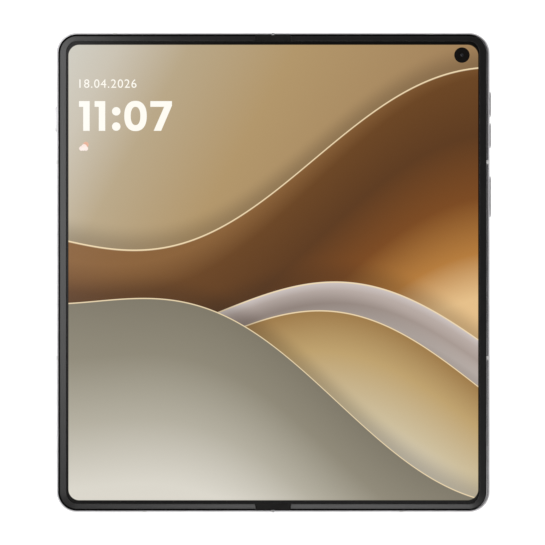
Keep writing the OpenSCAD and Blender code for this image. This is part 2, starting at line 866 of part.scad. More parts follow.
module hinge_spine() {
    color("#c8c6c2") {
        difference() {
            along_y(-spine_half_h, 2 * spine_half_h) spine_section(spine_r, z_axis - spine_edge);
            along_y(-spine_trough_h, 2 * spine_trough_h) spine_section(spine_in_r, z_axis);
        }
    }
}

// Outline of the room that a swing arm needs, about its own fold axis
module groove() {
    difference() {
        union() {
            circle(rib_ro + run_gap);
            translate([0, -spine_edge]) square([2 * spine_r, spine_r]);
        }
        circle(rib_ri - run_gap);
    }
}

// Slice of a circle about straight down, out to radius r
module wedge(half_angle, r) {
    polygon([[0, 0], [-r * tan(half_angle), -r], [r * tan(half_angle), -r]]);
}

module spring_arc(r0, r1, half_angle) {
    intersection() {
        difference() {
            circle(r1);
            circle(r0);
        }
        wedge(half_angle, 2 * r1);
    }
}

module hinge_base(end) {
    y0 = end * base_y - base_len / 2;
    difference() {
        along_y(y0, base_len) spine_section(spine_in_r, z_axis - base_top);
        for (side = [-1, 1]) on_side(side) translate([axis_x, 0, z_axis]) {
            along_y(arm_y(side, end) - slot_len / 2, slot_len) groove();
            along_y(arm_y(side, end) - arm_len / 2, arm_len)
                spring_arc(rib_ro, rib_ro + run_gap + spring_room, spring_half_angle + 1);
        }
    }
}

module hinge_base_upper() { color("#8f8f94") hinge_base(1); }

module hinge_base_lower() { color("#8f8f94") hinge_base(-1); }

module friction_springs() {
    r0 = rib_ro + run_gap + spring_room - spring_t;
    color("#5d6470") for (side = [-1, 1], end = [-1, 1]) on_side(side) translate([axis_x, 0, z_axis])
        along_y(arm_y(side, end) - arm_len / 2 + side_gap, arm_len - 2 * side_gap)
            spring_arc(r0, r0 + spring_t, spring_half_angle);
}

module swing_arm(side, end) {
    reach = big;
    tail = reach * tan(rib_tail_angle);
    y0 = arm_y(side, end) - arm_len / 2;
    color("#a2a2a8") on_side(side) {
        difference() {
            union() {
                translate([axis_x, 0, z_axis]) along_y(y0, arm_len) difference() {
                    union() {
                        difference() {
                            circle(rib_ro);
                            circle(rib_ri);
                        }
                        translate([bar_from, -bar_low])
                            square([pad_end - axis_x - bar_from, bar_low - bar_high]);
                    }
                    polygon([
                        [0, -bar_high], [reach, -bar_high], [reach, reach],
                        [-reach, reach], [-reach, -tail], [0, 0],
                    ]);
                    circle(rib_ri);
                }
                block([pad_x, y0, z_beam], [pad_end, y0 + arm_len, z_web]);
            }
            for (at = arm_screws(side)) screw_hole(at[0], at[1]);
        }
    }
}

module swing_arm_right_upper() { swing_arm(1, 1); }

module swing_arm_right_lower() { swing_arm(1, -1); }

module swing_arm_left_upper() { swing_arm(-1, 1); }

module swing_arm_left_lower() { swing_arm(-1, -1); }

module spine_plate() {
    z_floor = z_axis - spine_in_r;
    reach = base_y - base_len / 2 - notch_gap;
    outer = base_y + base_len / 2 + notch_gap;
    color("#b4b4b8") difference() {
        for (s = [0, 1], span = [[sync_half_len, reach], [outer, spine_trough_h]]) mirror([0, s, 0]) {
            block([-plate_half_w, span[0], z_wing], [plate_half_w, span[1], z_wing + wing_t]);
            block([-stem_half_w, span[0], z_floor], [stem_half_w, span[1], z_wing + eps]);
        }
        for (y = flex_y) block([-axis_x, y - flex_gap, z_floor - eps],
            [axis_x, y + flex_w + flex_gap, z_flex_low + 2 * flex_gap]);
    }
}

// Outline of one gear about its own axis, turned by phase
module gear_outline(phase) {
    tip = tip_r - run_gap / 2;
    circle(root_r);
    for (i = [0:gear_teeth - 1]) rotate(phase + i * 360 / gear_teeth)
        polygon([
            [0, -tooth_root_half], [root_r, -tooth_root_half], [tip, -tooth_tip_half],
            [tip, tooth_tip_half], [root_r, tooth_root_half], [0, tooth_root_half],
        ]);
}

module gear(x, phase) {
    difference() {
        translate([x, 0, z_gear]) {
            along_y(gear_y0, gear_len) gear_outline(phase);
            along_y(gear_y0, gear_end - gear_y0) circle(hub_r);
        }
        bar_y(x, z_gear, shaft_r + shaft_gap, gear_y0 - eps, gear_end - gear_y0 + 2 * eps);
    }
}

module sync_arm(side, phase) {
    color("#b98d3e") on_side(side) difference() {
        union() {
            gear(gear_x, phase);
            along_y(lever_y0, lever_len) {
                translate([gear_x, z_beam]) square([lever_pin_x - gear_x, lever_t]);
                translate([lever_pin_x, z_lever_pin]) circle(lever_lug_r);
            }
            bar_y(lever_pin_x, z_lever_pin, lever_pin_r, lever_y0 - bracket_gap - bracket_t,
                lever_len + 2 * (bracket_gap + bracket_t));
        }
        bar_y(gear_x, z_gear, shaft_r + shaft_gap, gear_y0 - eps, gear_end - gear_y0 + 2 * eps);
    }
}

half_tooth = 180 / gear_teeth;

module sync_arm_right() { sync_arm(1, 0); }

module sync_arm_left() { sync_arm(-1, half_tooth); }

module idler_gear_right() { color("#b98d3e") gear(idler_x, half_tooth); }

module idler_gear_left() { color("#b98d3e") on_side(-1) gear(idler_x, 0); }

module gear_base() {
    z_floor = z_axis - spine_in_r + gear_floor_t;
    color("#8f8f94") difference() {
        along_y(gear_base_y0, gear_base_len) intersection() {
            spine_section(spine_in_r, z_panel - eps);
            translate([-gear_x - tip_r, 0]) square([2 * (gear_x + tip_r), z_panel]);
        }
        block([-xo, gear_base_y0 + cheek_t, z_floor], [xo, gear_base_y0 + gear_base_len - cheek_t, z_panel]);
        along_y(gear_base_y0 + cheek_t, gear_base_len - 2 * cheek_t)
            for (x = [-gear_x, gear_x]) translate([x, z_gear]) circle(tip_r + run_gap);
        for (x = shafts_x) bar_y(x, z_gear, shaft_r, gear_base_y0 - eps, gear_base_len + 2 * eps);
    }
}

module gear_shafts() {
    color("#d8d8dc") for (x = shafts_x) bar_y(x, z_gear, shaft_r, gear_base_y0, gear_base_len);
}

module wing_plate(side) {
    on_side(side) difference() {
        union() {
            block([wing_x0, -wing_half_h, z_wing], [wing_x1, wing_half_h, z_wing + wing_t]);
            bar_y(wing_x1, z_wing_pin, wing_barrel_r, -wing_half_h, 2 * wing_half_h);
            bar_y(wing_x1, z_wing_pin, wing_pin_r, -wing_half_h - wing_pin_len,
                2 * (wing_half_h + wing_pin_len));
        }
        for (s = [0, 1]) mirror([0, s, 0]) block([0, base_y - base_len / 2 - notch_gap, z_wing - eps],
            [wing_notch_x, base_y + base_len / 2 + notch_gap, z_panel]);
        block([0, -sync_half_len, z_wing - eps], [wing_sync_x, sync_half_len, z_panel]);
    }
}

module wing_plate_right() { color("#c2c2c6") wing_plate(1); }

module wing_plate_left() { color("#c2c2c6") wing_plate(-1); }

// Flex cables: down into the spine at the fold, and up under the boards
module fold_flex() {
    z_end = z_board - flex_t;
    z_edge = z_axis - spine_edge;
    x_edge = axis_x + spine_in_r - flex_gap;
    right = [
        [0, z_flex_low], [axis_x, z_flex_low], [x_edge - flex_gap, z_edge - flex_t],
        [x_edge, z_edge + flex_t], [beam_x - flex_gap, z_beam + flex_t],
        [lip_x + flex_gap, z_beam + flex_t], [wall_x, z_end], [flex_end, z_end],
    ];
    path = concat([for (i = [len(right) - 1:-1:1]) [-right[i][0], right[i][1]]], right);
    upper = [for (i = [len(path) - 1:-1:0]) path[i] + [0, flex_t]];
    color("#c07a2c") for (y = flex_y) along_y(y, flex_w) polygon(concat(path, upper));
}

right_frame();
right_antenna_bands();
right_bezel();
right_back_cover();
camera_island();
lens_glasses();
flash_lens();
main_camera();
wide_camera();
zoom_camera();
display_camera();
main_board();
right_battery();
charging_coil();
usb_socket();
usb_board();
loudspeaker();
haptic_motor();
key_switches();
right_magnets();
right_screws();
swing_arm_right_upper();
swing_arm_right_lower();
display_right();
volume_up_key();
volume_down_key();
power_key();
card_tray();
left_frame();
left_antenna_bands();
left_bezel();
outer_display_glass();
outer_display_panel();
outer_camera();
left_battery();
left_board();
earpiece();
assist_switch();
left_magnets();
left_screws();
swing_arm_left_upper();
swing_arm_left_lower();
display_left();
assist_key();
hinge_spine();
hinge_base_upper();
hinge_base_lower();
gear_base();
gear_shafts();
spine_plate();
friction_springs();
sync_arm_right();
sync_arm_left();
idler_gear_right();
idler_gear_left();
wing_plate_right();
wing_plate_left();
display_fold();
hinge_caps();
fold_flex();
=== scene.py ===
# %% [markdown]
# # A phone that folds like a book
#
# The phone lies open on its back: +X runs across the fold, +Y along it, and
# +Z out of the folding display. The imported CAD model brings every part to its
# place, and this file gives each part the finish of the real one. Where the
# real shape has more detail than the CAD part, a new piece takes its place.

# %% Load the frame
import math

import bmesh
import bpy
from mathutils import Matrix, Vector


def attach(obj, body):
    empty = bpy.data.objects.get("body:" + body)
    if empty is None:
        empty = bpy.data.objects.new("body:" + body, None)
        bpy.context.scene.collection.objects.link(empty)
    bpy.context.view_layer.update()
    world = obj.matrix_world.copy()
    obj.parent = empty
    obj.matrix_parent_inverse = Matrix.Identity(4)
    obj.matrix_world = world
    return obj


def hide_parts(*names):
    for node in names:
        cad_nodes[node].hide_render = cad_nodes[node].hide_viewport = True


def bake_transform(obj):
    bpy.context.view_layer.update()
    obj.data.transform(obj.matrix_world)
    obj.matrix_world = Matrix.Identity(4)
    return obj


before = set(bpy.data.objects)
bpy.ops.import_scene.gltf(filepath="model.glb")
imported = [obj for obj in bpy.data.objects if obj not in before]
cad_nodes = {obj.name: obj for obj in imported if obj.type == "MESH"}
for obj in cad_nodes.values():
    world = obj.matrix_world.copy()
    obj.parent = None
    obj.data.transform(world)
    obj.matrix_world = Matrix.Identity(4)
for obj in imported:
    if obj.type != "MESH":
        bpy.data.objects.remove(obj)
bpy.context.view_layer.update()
scene = bpy.context.scene
MM = 0.001

# %% [markdown]
# ## Sizes
#
# Everything below is drawn in millimetres and made metres at the end. A side
# of the phone is drawn once, on the right, by the distance from its outside
# inwards (the inset), so that one section can run all round its rounded corners.

# %% Sizes that the pieces share, in millimetres
HALF_W, HALF_H = 72.25, 80.0  # from the fold to a side, and from the middle to an end
CORNER_R = 6.9  # outer corners of the case
Z_BACK = 2.2  # back face of the case; the island's lens rings reach down to the floor
Z_PANEL, Z_SCREEN = 5.6, 6.35  # underside and face of the folding display
Z_TOP = 6.8  # top of the phone
PANEL_INSET = 2.2  # from the outside of the case to the edge of the display
FOLD_HALF = 6.0  # where the bezels stop, measured from the fold
SIDES = {"right": 1, "left": -1}
print("open phone:", 2 * HALF_W, "x", 2 * HALF_H, "mm")

# %% [markdown]
# ## Camera
#
# The photograph looks straight down on the display from far away. At 1.2 m a
# long lens keeps the sides of the frame almost edge-on, and the frame of the
# picture is then 181.67 mm wide at the height of the bezel. A camera without
# perspective would be simpler, but a real lens has a little of it.

# %% Camera
VIEW_DISTANCE = 1.2  # in metres
PICTURE_WIDTH = 0.18167  # in metres, at the height of the bezel
VIEW_X = -0.17 * MM  # the middle of the picture lies this far to the left of the fold
SENSOR_WIDTH = 36
camera_data = bpy.data.cameras.new("camera")
camera_data.sensor_width = SENSOR_WIDTH
camera_data.lens = camera_data.sensor_width * (VIEW_DISTANCE - Z_TOP * MM) / PICTURE_WIDTH
camera = bpy.data.objects.new("camera", camera_data)
camera.location = (VIEW_X, 0, VIEW_DISTANCE)
scene.collection.objects.link(camera)
scene.camera = camera
print("lens:", round(camera_data.lens, 1), "mm")

# %% [markdown]
# ## Making a finish
#
# Colours are written as sRGB hex values, as they look on a display, and one
# function makes them linear for the shader. One more function adds a node,
# sets it and links it, so a finish below reads from its coordinates to its
# sockets. A finish could be painted as an image too, but nodes stay sharp from
# near, and each of their sizes is one number to change.

# %% Colour, node and material helpers
def linear(hex_colour):
    """The linear colour, with full alpha, of an sRGB hex value."""
    values = [int(hex_colour[i : i + 2], 16) / 255 for i in (1, 3, 5)]
    return [v / 12.92 if v <= 0.04045 else ((v + 0.055) / 1.055) ** 2.4 for v in values] + [1.0]


def node(tree, kind, *feeds, named=None, stops=None, **settings):
    """Adds a shader node and returns its output. Feeds fill its live inputs in order."""
    made = tree.nodes.new("ShaderNode" + kind)
    for name, value in settings.items():
        setattr(made, name, value)
    if stops:
        ramp = made.color_ramp.elements
        while len(ramp) < len(stops):
            ramp.new(1)
        for element, (position, shade) in zip(ramp, stops):
            element.position = position
            element.color = linear(shade)
    live = [socket for socket in made.inputs if socket.enabled]
    pairs = list(zip(live, feeds)) + [(made.inputs[k], v) for k, v in (named or {}).items()]
    for socket, feed in pairs:
        if isinstance(feed, bpy.types.NodeSocket):
            tree.links.new(feed, socket)
        elif feed is not None:
            socket.default_value = linear(feed) if isinstance(feed, str) else feed
    return next(socket for socket in made.outputs if socket.enabled)


def new_finish(name, sockets):
    """A Principled material, with plain numbers and colours set on its own sockets."""
    material = bpy.data.materials.new(name)
    material.use_nodes = True
    shader = material.node_tree.nodes["Principled BSDF"]
    for socket, value in sockets.items():
        shader.inputs[socket].default_value = linear(value) if isinstance(value, str) else value
    return material, material.node_tree, shader


print("node helpers ready")

# %% [markdown]
# ## Grain and clouds
#
# No real surface is quite even. Each finish here has slow clouds of a few close
# shades, and one fine grain that changes its gloss and its height together, as
# blasting or a textured mould does. Both are noise on object coordinates, which
# need no unwrapping, and the width of their lumps is given in millimetres.

# %% Grain and clouds
NOISE_LOW, NOISE_HIGH = 0.3, 0.7  # most values of a noise lie between these
GRAIN_DETAIL, CLOUD_DETAIL = 3.0, 2.0  # layers of ever finer lumps


def object_mm(tree):
    """Object coordinates in millimetres, so that a pattern's scale is one over its size in mm."""
    place = tree.nodes.new("ShaderNodeTexCoord").outputs["Object"]
    return node(tree, "VectorMath", place, named={"Scale": 1 / MM}, operation="SCALE")


def rough_and_bumpy(tree, shader, place, size, roughness, rise):
    """Grain of one size that drives both the roughness and a bump of rise millimetres."""
    lumps = {"Vector": place, "Scale": 1 / size, "Detail": GRAIN_DETAIL}
    grain = node(tree, "TexNoise", named=lumps)
    dullness = node(tree, "MapRange", grain, NOISE_LOW, NOISE_HIGH, *roughness)
    tree.links.new(dullness, shader.inputs["Roughness"])
    bump = node(tree, "Bump", named={"Height": grain, "Distance": rise * MM, "Strength": 1.0})
    tree.links.new(bump, shader.inputs["Normal"])


def tint(tree, shader, place, size, shades):
    """Slow colour variation between a few close shades."""
    lumps = {"Vector": place, "Scale": 1 / size, "Detail": CLOUD_DETAIL}
    cloud = node(tree, "TexNoise", named=lumps)
    gap = (NOISE_HIGH - NOISE_LOW) / (len(shades) - 1)
    stops = [(NOISE_LOW + gap * i, shade) for i, shade in enumerate(shades)]
    tree.links.new(node(tree, "ValToRGB", cloud, stops=stops), shader.inputs["Base Color"])


print("grain and cloud helpers ready")

# %% [markdown]
# ## Finishes of the case
#
# The rails are machined aluminium, bead-blasted and anodised in pale silver.
# The blasting leaves a grain of about 0.06 mm, drawn here at 0.15 mm so that it
# shows, and the other grains finer than 0.1 mm are drawn at 0.1 mm or more too.
# A finish is one row of a table: sockets that stay plain numbers, close shades
# and the size of their clouds, then one grain with its range of roughness and
# its rise. Sizes are in millimetres. Each finish could have a function of its
# own, but they differ in numbers only, so one loop makes them all.

# %% Finishes of the case
METAL = {"Metallic": 1.0}
finishes = {}


def make_finishes(table):
    """Makes the finishes of a table, each from its name and its row."""
    for name, (sockets, shades, cloud_size, grain_size, roughness, rise) in table.items():
        finishes[name], tree, shader = new_finish(name, sockets)
        place = object_mm(tree)
        tint(tree, shader, place, cloud_size, shades)
        rough_and_bumpy(tree, shader, place, grain_size, roughness, rise)
    print(len(table), "finishes:", ", ".join(table))


make_finishes({
    # Blasted and anodised: an even satin silver without streaks.
    "bead_blasted_aluminium": (METAL, ("#D4D3D5", "#DAD9DB", "#DFDEE1"), 9, 0.15, (0.26, 0.36), 0.004),
    # Turned with a diamond tool: bright, with sharp highlights.
    "polished_aluminium": (METAL, ("#DCDBDC", "#E2E1E2"), 6, 0.4, (0.10, 0.16), 0.001),
    # Glass-filled plastic in the slots of the frame: a dull warm grey beside the metal.
    "antenna_polymer": ({}, ("#B9B8B7", "#C6C5C4"), 4, 0.2, (0.42, 0.55), 0.004),
    # Moulded against a spark-eroded tool and lacquered: near black, with a silky gleam.
    "moulded_bezel_plastic": ({"IOR": 1.7}, ("#0E0D0D", "#131211"), 7, 0.12, (0.28, 0.34), 0.004),
    # Soft moulded rubber: it swallows most of the light.
    "hinge_cap_rubber": ({"Specular IOR Level": 0.15}, ("#100F0E", "#171615"), 3, 0.15, (0.5, 0.6), 0.006),
    # Painted shade: a flat black that darkens the gap between rim and bezel.
    "painted_gap_shade": ({"Specular IOR Level": 0.1}, ("#030303", "#060606"), 2, 0.1, (0.7, 0.85), 0.003),
})

# %% [markdown]
# ## Finishes of glass and cameras
#
# Glass is polished, so its roughness is low and its grain has no rise. The back
# cover is different: its outside is etched to a satin, in warm ivory. Round the
# lenses everything is black, so that no stray light reaches them. Clear glass
# could let light through here too, but print or a panel lies right behind it,
# so a glossy surface in that colour looks the same and renders faster.

# %% Finishes of glass and cameras
make_finishes({
    # Float glass etched with acid: soft reflections over an ivory print.
    "etched_back_glass": (
        {"Coat Weight": 0.35, "Coat Roughness": 0.2},
        ("#E7E2D7", "#E9E4D9", "#EBE6DC"), 30, 0.1, (0.3, 0.38), 0.001,
    ),
    # The same print under clear glass: a little darker and glossier.
    "island_glass": (
        {"Coat Weight": 0.8, "Coat Roughness": 0.05},
        ("#DCD6C9", "#E4DFD4"), 15, 0.3, (0.12, 0.18), 0.0,
    ),
    # Toughened glass over a dark panel: a deep black mirror.
    "outer_display_glass": ({"IOR": 1.48}, ("#030304", "#060607"), 30, 1.0, (0.03, 0.05), 0.0),
    # Thin glass with a black print behind it: a faint warm black.
    "camera_window_glass": ({"IOR": 1.4}, ("#110F0E", "#161413"), 2, 1.0, (0.05, 0.08), 0.0),
    # Moulded and matt: it hardly shines.
    "black_camera_plastic": ({}, ("#0A0A0B", "#121213"), 2, 0.1, (0.35, 0.5), 0.002),
    # Turned steps, dyed black: each edge catches a thin line of light.
    "anodised_lens_barrel": ({"Metallic": 0.6}, ("#0C0C0E", "#1A1A1E"), 1.5, 0.1, (0.3, 0.4), 0.002),
})

# %% [markdown]
# ## Finishes of the inside
#
# Most of these are hidden while the phone is whole, and show when a reader
# takes it apart. Boards are glass laminate under green lacquer, cells are
# wrapped in dark foil, and the hinge is sintered steel with gears of brass. One
# grey would do for the render, but a part that is taken out should look right.

# %% Finishes of the inside
make_finishes({
    # Green lacquer over woven glass: smooth, with a slight ripple.
    "board_laminate": ({}, ("#164A2E", "#1F5A3A"), 5, 0.4, (0.4, 0.5), 0.01),
    # Aluminium foil under a dark film: half metallic and gently creased.
    "battery_pouch_foil": ({"Metallic": 0.4}, ("#26262A", "#33333A"), 8, 0.8, (0.3, 0.45), 0.02),
    # Enamelled wire in flat turns: a warm red metal.
    "copper_winding": (METAL, ("#A8643A", "#C07A48"), 2, 0.3, (0.25, 0.4), 0.01),
    # Rolled and pressed sheet: a plain grey shine.
    "stamped_steel": (METAL, ("#9A9A9E", "#B4B4B8"), 4, 0.2, (0.25, 0.38), 0.003),
    # Glass-filled moulding: dark grey and dry.
    "speaker_moulding": ({}, ("#242426", "#303032"), 5, 0.3, (0.5, 0.6), 0.01),
    # Bright nickel: a yellowish mirror.
    "nickel_plated_magnet": (METAL, ("#A8A49C", "#BDB9B0"), 3, 0.3, (0.15, 0.25), 0.002),
    # Oxide-blackened heads: dark, with a metal's highlight.
    "blackened_screw_steel": (METAL, ("#5A5A5E", "#707074"), 1, 0.1, (0.3, 0.4), 0.003),
    # Metal powder, moulded and sintered: grey, with a fine sandy grain.
    "sintered_hinge_steel": (METAL, ("#86868B", "#98989D"), 3, 0.12, (0.32, 0.45), 0.005),
    # Cut brass: a soft yellow shine.
    "gear_brass": (METAL, ("#A88A4A", "#C0A25E"), 2, 0.15, (0.25, 0.38), 0.003),
    # Amber film over copper tracks: brown and glossy.
    "polyimide_film": ({"Coat Weight": 0.4}, ("#7A4A18", "#96601F"), 3, 0.5, (0.3, 0.4), 0.002),
    # Black graphite tape behind the panel: it spreads heat and hardly shines.
    "matte_foil": ({}, ("#1A1A1C", "#232326"), 6, 0.4, (0.5, 0.6), 0.004),
    # Thin hard gold on the contacts: deep yellow and smooth.
    "gold_contact": (METAL, ("#C9A24C", "#DDBB6A"), 1, 0.1, (0.2, 0.3), 0.001),
})

# %% [markdown]
# ## Re-finishing the CAD parts
#
# A CAD part whose shape is already right keeps its mesh and only takes a new
# finish. Modelling it again would gain nothing, and its holes and pins might no
# longer fit. The table below goes by the record's own part names.

# %% Finishes of the CAD parts that stay
CAD_FINISHES = {
    "bead_blasted_aluminium": ["right_frame", "left_frame", "card_tray", "hinge_spine"],
    "antenna_polymer": ["right_antenna_bands", "left_antenna_bands"],
    "etched_back_glass": ["right_back_cover"],
    "outer_display_glass": ["outer_display_glass"],
    "black_camera_plastic": ["display_camera", "outer_camera"],
    "board_laminate": ["main_board", "usb_board", "left_board"],
    "battery_pouch_foil": ["right_battery", "left_battery"],
    "copper_winding": ["charging_coil"],
    "stamped_steel": ["usb_socket", "haptic_motor", "key_switches", "assist_switch", "spine_plate"],
    "speaker_moulding": ["loudspeaker", "earpiece"],
    "nickel_plated_magnet": ["right_magnets", "left_magnets"],
    "blackened_screw_steel": ["right_screws", "left_screws"],
    "sintered_hinge_steel": [
        "hinge_base_upper", "hinge_base_lower", "gear_base", "gear_shafts", "friction_springs",
        "swing_arm_right_upper", "swing_arm_right_lower", "swing_arm_left_upper",
        "swing_arm_left_lower", "wing_plate_right", "wing_plate_left",
    ],
    "gear_brass": ["sync_arm_right", "sync_arm_left", "idler_gear_right", "idler_gear_left"],
    "matte_foil": ["outer_display_panel"],
}
for name, members in CAD_FINISHES.items():
    for member in members:
        mesh = cad_nodes[member].data
        mesh.materials.clear()
        mesh.materials.append(finishes[name])
print(sum(map(len, CAD_FINISHES.values())), "CAD parts re-finished")

# %% [markdown]
# ## Making a piece
#
# Each new piece starts as a bmesh in millimetres. This function makes it
# metres, points its faces outwards, and gives it its finish and the body that
# it rides on. A piece without a body here is one that bends, and rides on no
# body. All faces are shaded smooth and only sharp edges stay crisp, so round
# walls look round with few faces.

# %% Finishing a piece
MERGE = 1e-4  # points this close, in mm, become one


def finish_piece(bm, name, finish, body=None, replaces=(), crease=30):
    """Turns a bmesh in millimetres into a finished piece. Edges over crease degrees stay sharp."""
    bmesh.ops.remove_doubles(bm, verts=bm.verts, dist=MERGE)
    bmesh.ops.recalc_face_normals(bm, faces=bm.faces)
    bmesh.ops.scale(bm, vec=(MM, MM, MM), verts=bm.verts)
    for face in bm.faces:
        face.smooth = True
    mesh = bpy.data.meshes.new(name)
    bm.to_mesh(mesh)
    bm.free()
    mesh.set_sharp_from_angle(angle=math.radians(crease))
    mesh.materials.append(finish)
    piece = bpy.data.objects.new(name, mesh)
    scene.collection.objects.link(piece)
    if body:
        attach(piece, body)
    if replaces:
        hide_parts(*replaces)
    print(name, len(mesh.polygons), "faces")
    return piece


print("ready to make pieces")

# %% [markdown]
# ## Going round a half
#
# The bezels and the black film and bead of painted shade beside them have one
# section that runs from the fold along an end, round two corners and back to
# the fold. A curve with a profile could sweep it, but it keeps one width all
# the way, and these sections have other widths at the sides than at the ends.
# So each point of a section has two insets, one at the ends and one at the
# sides. The section is set up as a ring at each station on the way, and
# neighbouring rings are bridged.

# %% Going round a half
CORNER_STEPS = 24


def close_ends(bm):
    """Fills every open rim with one face."""
    bmesh.ops.holes_fill(bm, edges=[edge for edge in bm.edges if edge.is_boundary], sides=0)


def mirror_to(bm, side):
    """Leaves a piece on the right half, or mirrors it to the left one."""
    bmesh.ops.scale(bm, vec=(side, 1, 1), verts=bm.verts)


def sweep_half(bm, section, start_x):
    """Lofts a section round the right half, from start_x at the bottom to start_x at the top."""
    corner_x, corner_y = HALF_W - CORNER_R, HALF_H - CORNER_R
    turns = [math.pi / 2 * i / CORNER_STEPS for i in range(CORNER_STEPS + 1)]
    stations = [(start_x, -corner_y, -math.pi / 2)]
    stations += [(corner_x, -corner_y, turn - math.pi / 2) for turn in turns]
    stations += [(corner_x, corner_y, turn) for turn in turns]
    stations += [(start_x, corner_y, math.pi / 2)]
    last = None
    for x, y, turn in stations:
        out_x, out_y = math.cos(turn), math.sin(turn)
        ring = []
        for at_end, at_side, z in section:
            reach = CORNER_R - at_end + (at_end - at_side) * out_x**2
            ring.append(bm.verts.new((x + reach * out_x, y + reach * out_y, z)))
        rim = [bm.edges.new(pair) for pair in zip(ring, ring[1:] + ring[:1])]
        if last:
            bmesh.ops.bridge_loops(bm, edges=last + rim)
        last = rim
    close_ends(bm)


print("sweep ready:", CORNER_STEPS, "steps round a corner")

# %% [markdown]
# ## Bezels
#
# A raised bezel frames each half of the display and keeps the two halves of
# the screen apart when the phone is shut. It rises beside the metal rim in a
# small radius, leans gently outwards over its crown, and drops to the display
# in a soft inner edge. The shade of the groove beside it is painted: a thin
# black film lies in the groove, and a thin black bead laps over the rim. Both
# thin out along the right side, where the photograph shows bare metal. Every
# piece is swept at the right, and those of the left half are mirrored
# afterwards, so one sweep serves both halves.

# %% Bezels
BEZEL_SECTION = [  # (inset at the ends, inset at the sides, height), round the section
    (1.22, 1.22, 6.36), (1.22, 1.22, 6.57), (1.23, 1.23, 6.59), (1.26, 1.26, 6.6), (1.6, 1.75, 6.645),
    (1.97, 2.25, 6.69), (2.34, 2.75, 6.735), (2.72, 3.2, 6.78), (2.82, 3.29, 6.785),
    (2.86, 3.33, 6.77), (2.88, 3.35, 6.73), (2.88, 3.35, 6.36), (2.1, 2.1, 6.355),
    (2.1, 2.1, 5.65), (1.4, 1.4, 5.65), (1.4, 1.4, 6.36),
]
GAP_SHADE_SECTIONS = {  # painted shade: the black film in the groove and the black bead that laps over the rim
    "right": [
        [(0.82, 1.1, 6.352), (1.21, 1.21, 6.352), (1.21, 1.21, 6.359), (0.82, 1.1, 6.359)],
        [(0.58, 0.78, 6.69), (0.62, 0.8, 6.72), (0.84, 0.84, 6.72), (0.84, 0.84, 6.69)],
    ],
    "left": [
        [(0.82, 0.82, 6.352), (1.21, 1.21, 6.352), (1.21, 1.21, 6.359), (0.82, 0.82, 6.359)],
        [(0.58, 0.63, 6.69), (0.62, 0.67, 6.72), (0.84, 0.89, 6.72), (0.84, 0.89, 6.69)],
    ],
}
GAP_SHADE_START = 0.5  # the painted gap shade's distance from the fold
BEZEL_CREASE = 40  # degrees; the crown's soft inner edge stays smooth
for half, side in SIDES.items():
    bm = bmesh.new()
    sweep_half(bm, BEZEL_SECTION, FOLD_HALF)
    mirror_to(bm, side)
    finish_piece(
        bm, half + "_bezel_crown", finishes["moulded_bezel_plastic"],
        half + "_half", [half + "_bezel"], crease=BEZEL_CREASE,
    )
    # A thin black film and bead paint the shade of the gap beside the bezel
    bm = bmesh.new()
    for section in GAP_SHADE_SECTIONS[half]:
        sweep_half(bm, section, GAP_SHADE_START)
    mirror_to(bm, side)
    finish_piece(bm, half + "_painted_gap_shade", finishes["painted_gap_shade"], half + "_half")

# %% [markdown]
# ## Wallpaper
#
# The display shows a calm picture of layered dunes: broad flowing crests in
# grey-beige, gold, deep brown and pale rose, each with a thin golden rim light
# and a soft shadow on the layer behind. It is drawn by nodes from the screen's
# own UV map, which holds the place in the picture, so it bends with the screen.
# An image would have to be kept beside this file, and would blur from near.
# A crest is a sine on a slope; what lies under it takes a ramp by its depth.

# %% Wallpaper
PICTURE = 160.0  # width and height in mm that the UV map covers
UV_MIDDLE = 0.5


def picture_mm(tree):
    """X and Y in the picture, in millimetres from its middle."""
    place = node(tree, "UVMap", uv_map="picture")
    centred = node(tree, "VectorMath", place, (UV_MIDDLE, UV_MIDDLE, 0), operation="SUBTRACT")
    scaled = node(tree, "VectorMath", centred, named={"Scale": PICTURE}, operation="SCALE")
    split = node(tree, "SeparateXYZ", scaled).node
    return split.outputs["X"], split.outputs["Y"]


def crest_depth(tree, x, y, level, slope, swell, length, phase):
    """How far a point lies under a crest, in mm: a sine wave on a slope."""
    turn = node(tree, "Math", x, 2 * math.pi / length, phase, operation="MULTIPLY_ADD")
    wave = node(tree, "Math", turn, operation="SINE")
    raised = node(tree, "Math", wave, swell, level, operation="MULTIPLY_ADD")
    tilted = node(tree, "Math", x, slope, raised, operation="MULTIPLY_ADD")
    return node(tree, "Math", tilted, y, operation="SUBTRACT")


SMOOTH = {"interpolation_type": "SMOOTHSTEP"}  # a map range that starts and ends gently
SHADOW_REACH, SHADOW_SHARE, SHADOW = 9.0, 0.35, "#3A2A1C"  # of a dune on the layer behind it
EDGE_BLUR, RIM_BLUR = 0.12, 0.1  # in mm, so that no edge is jagged
RIM_FULL = 0.4  # share of the rim's width that has its full light
RIM_LIGHT = "#F3DDB4"


def lay_dune(tree, under, x, y, crest, stops, depth, rim_width, lean):
    """Lays one dune over the picture so far: its shadow, its body and its rim light."""
    d = crest_depth(tree, x, y, *crest)
    near = node(tree, "MapRange", d, -SHADOW_REACH, 0.0, **SMOOTH)
    shade = node(tree, "Math", near, SHADOW_SHARE, operation="MULTIPLY")
    under = node(tree, "Mix", shade, under, SHADOW, data_type="RGBA")
    leaned = node(tree, "Math", x, lean, d, operation="MULTIPLY_ADD")
    body = node(tree, "ValToRGB", node(tree, "MapRange", leaned, 0.0, depth), stops=stops)
    over = node(tree, "MapRange", d, -EDGE_BLUR, EDGE_BLUR, **SMOOTH)
    layered = node(tree, "Mix", over, under, body, data_type="RGBA")
    rim_in = node(tree, "MapRange", d, -RIM_BLUR, RIM_BLUR, **SMOOTH)
    rim_out = node(tree, "MapRange", d, rim_width * RIM_FULL, rim_width, 1.0, 0.0, **SMOOTH)
    rim = node(tree, "Math", rim_in, rim_out, operation="MULTIPLY")
    return node(tree, "Mix", rim, layered, RIM_LIGHT, data_type="RGBA")


print("dune helpers ready")

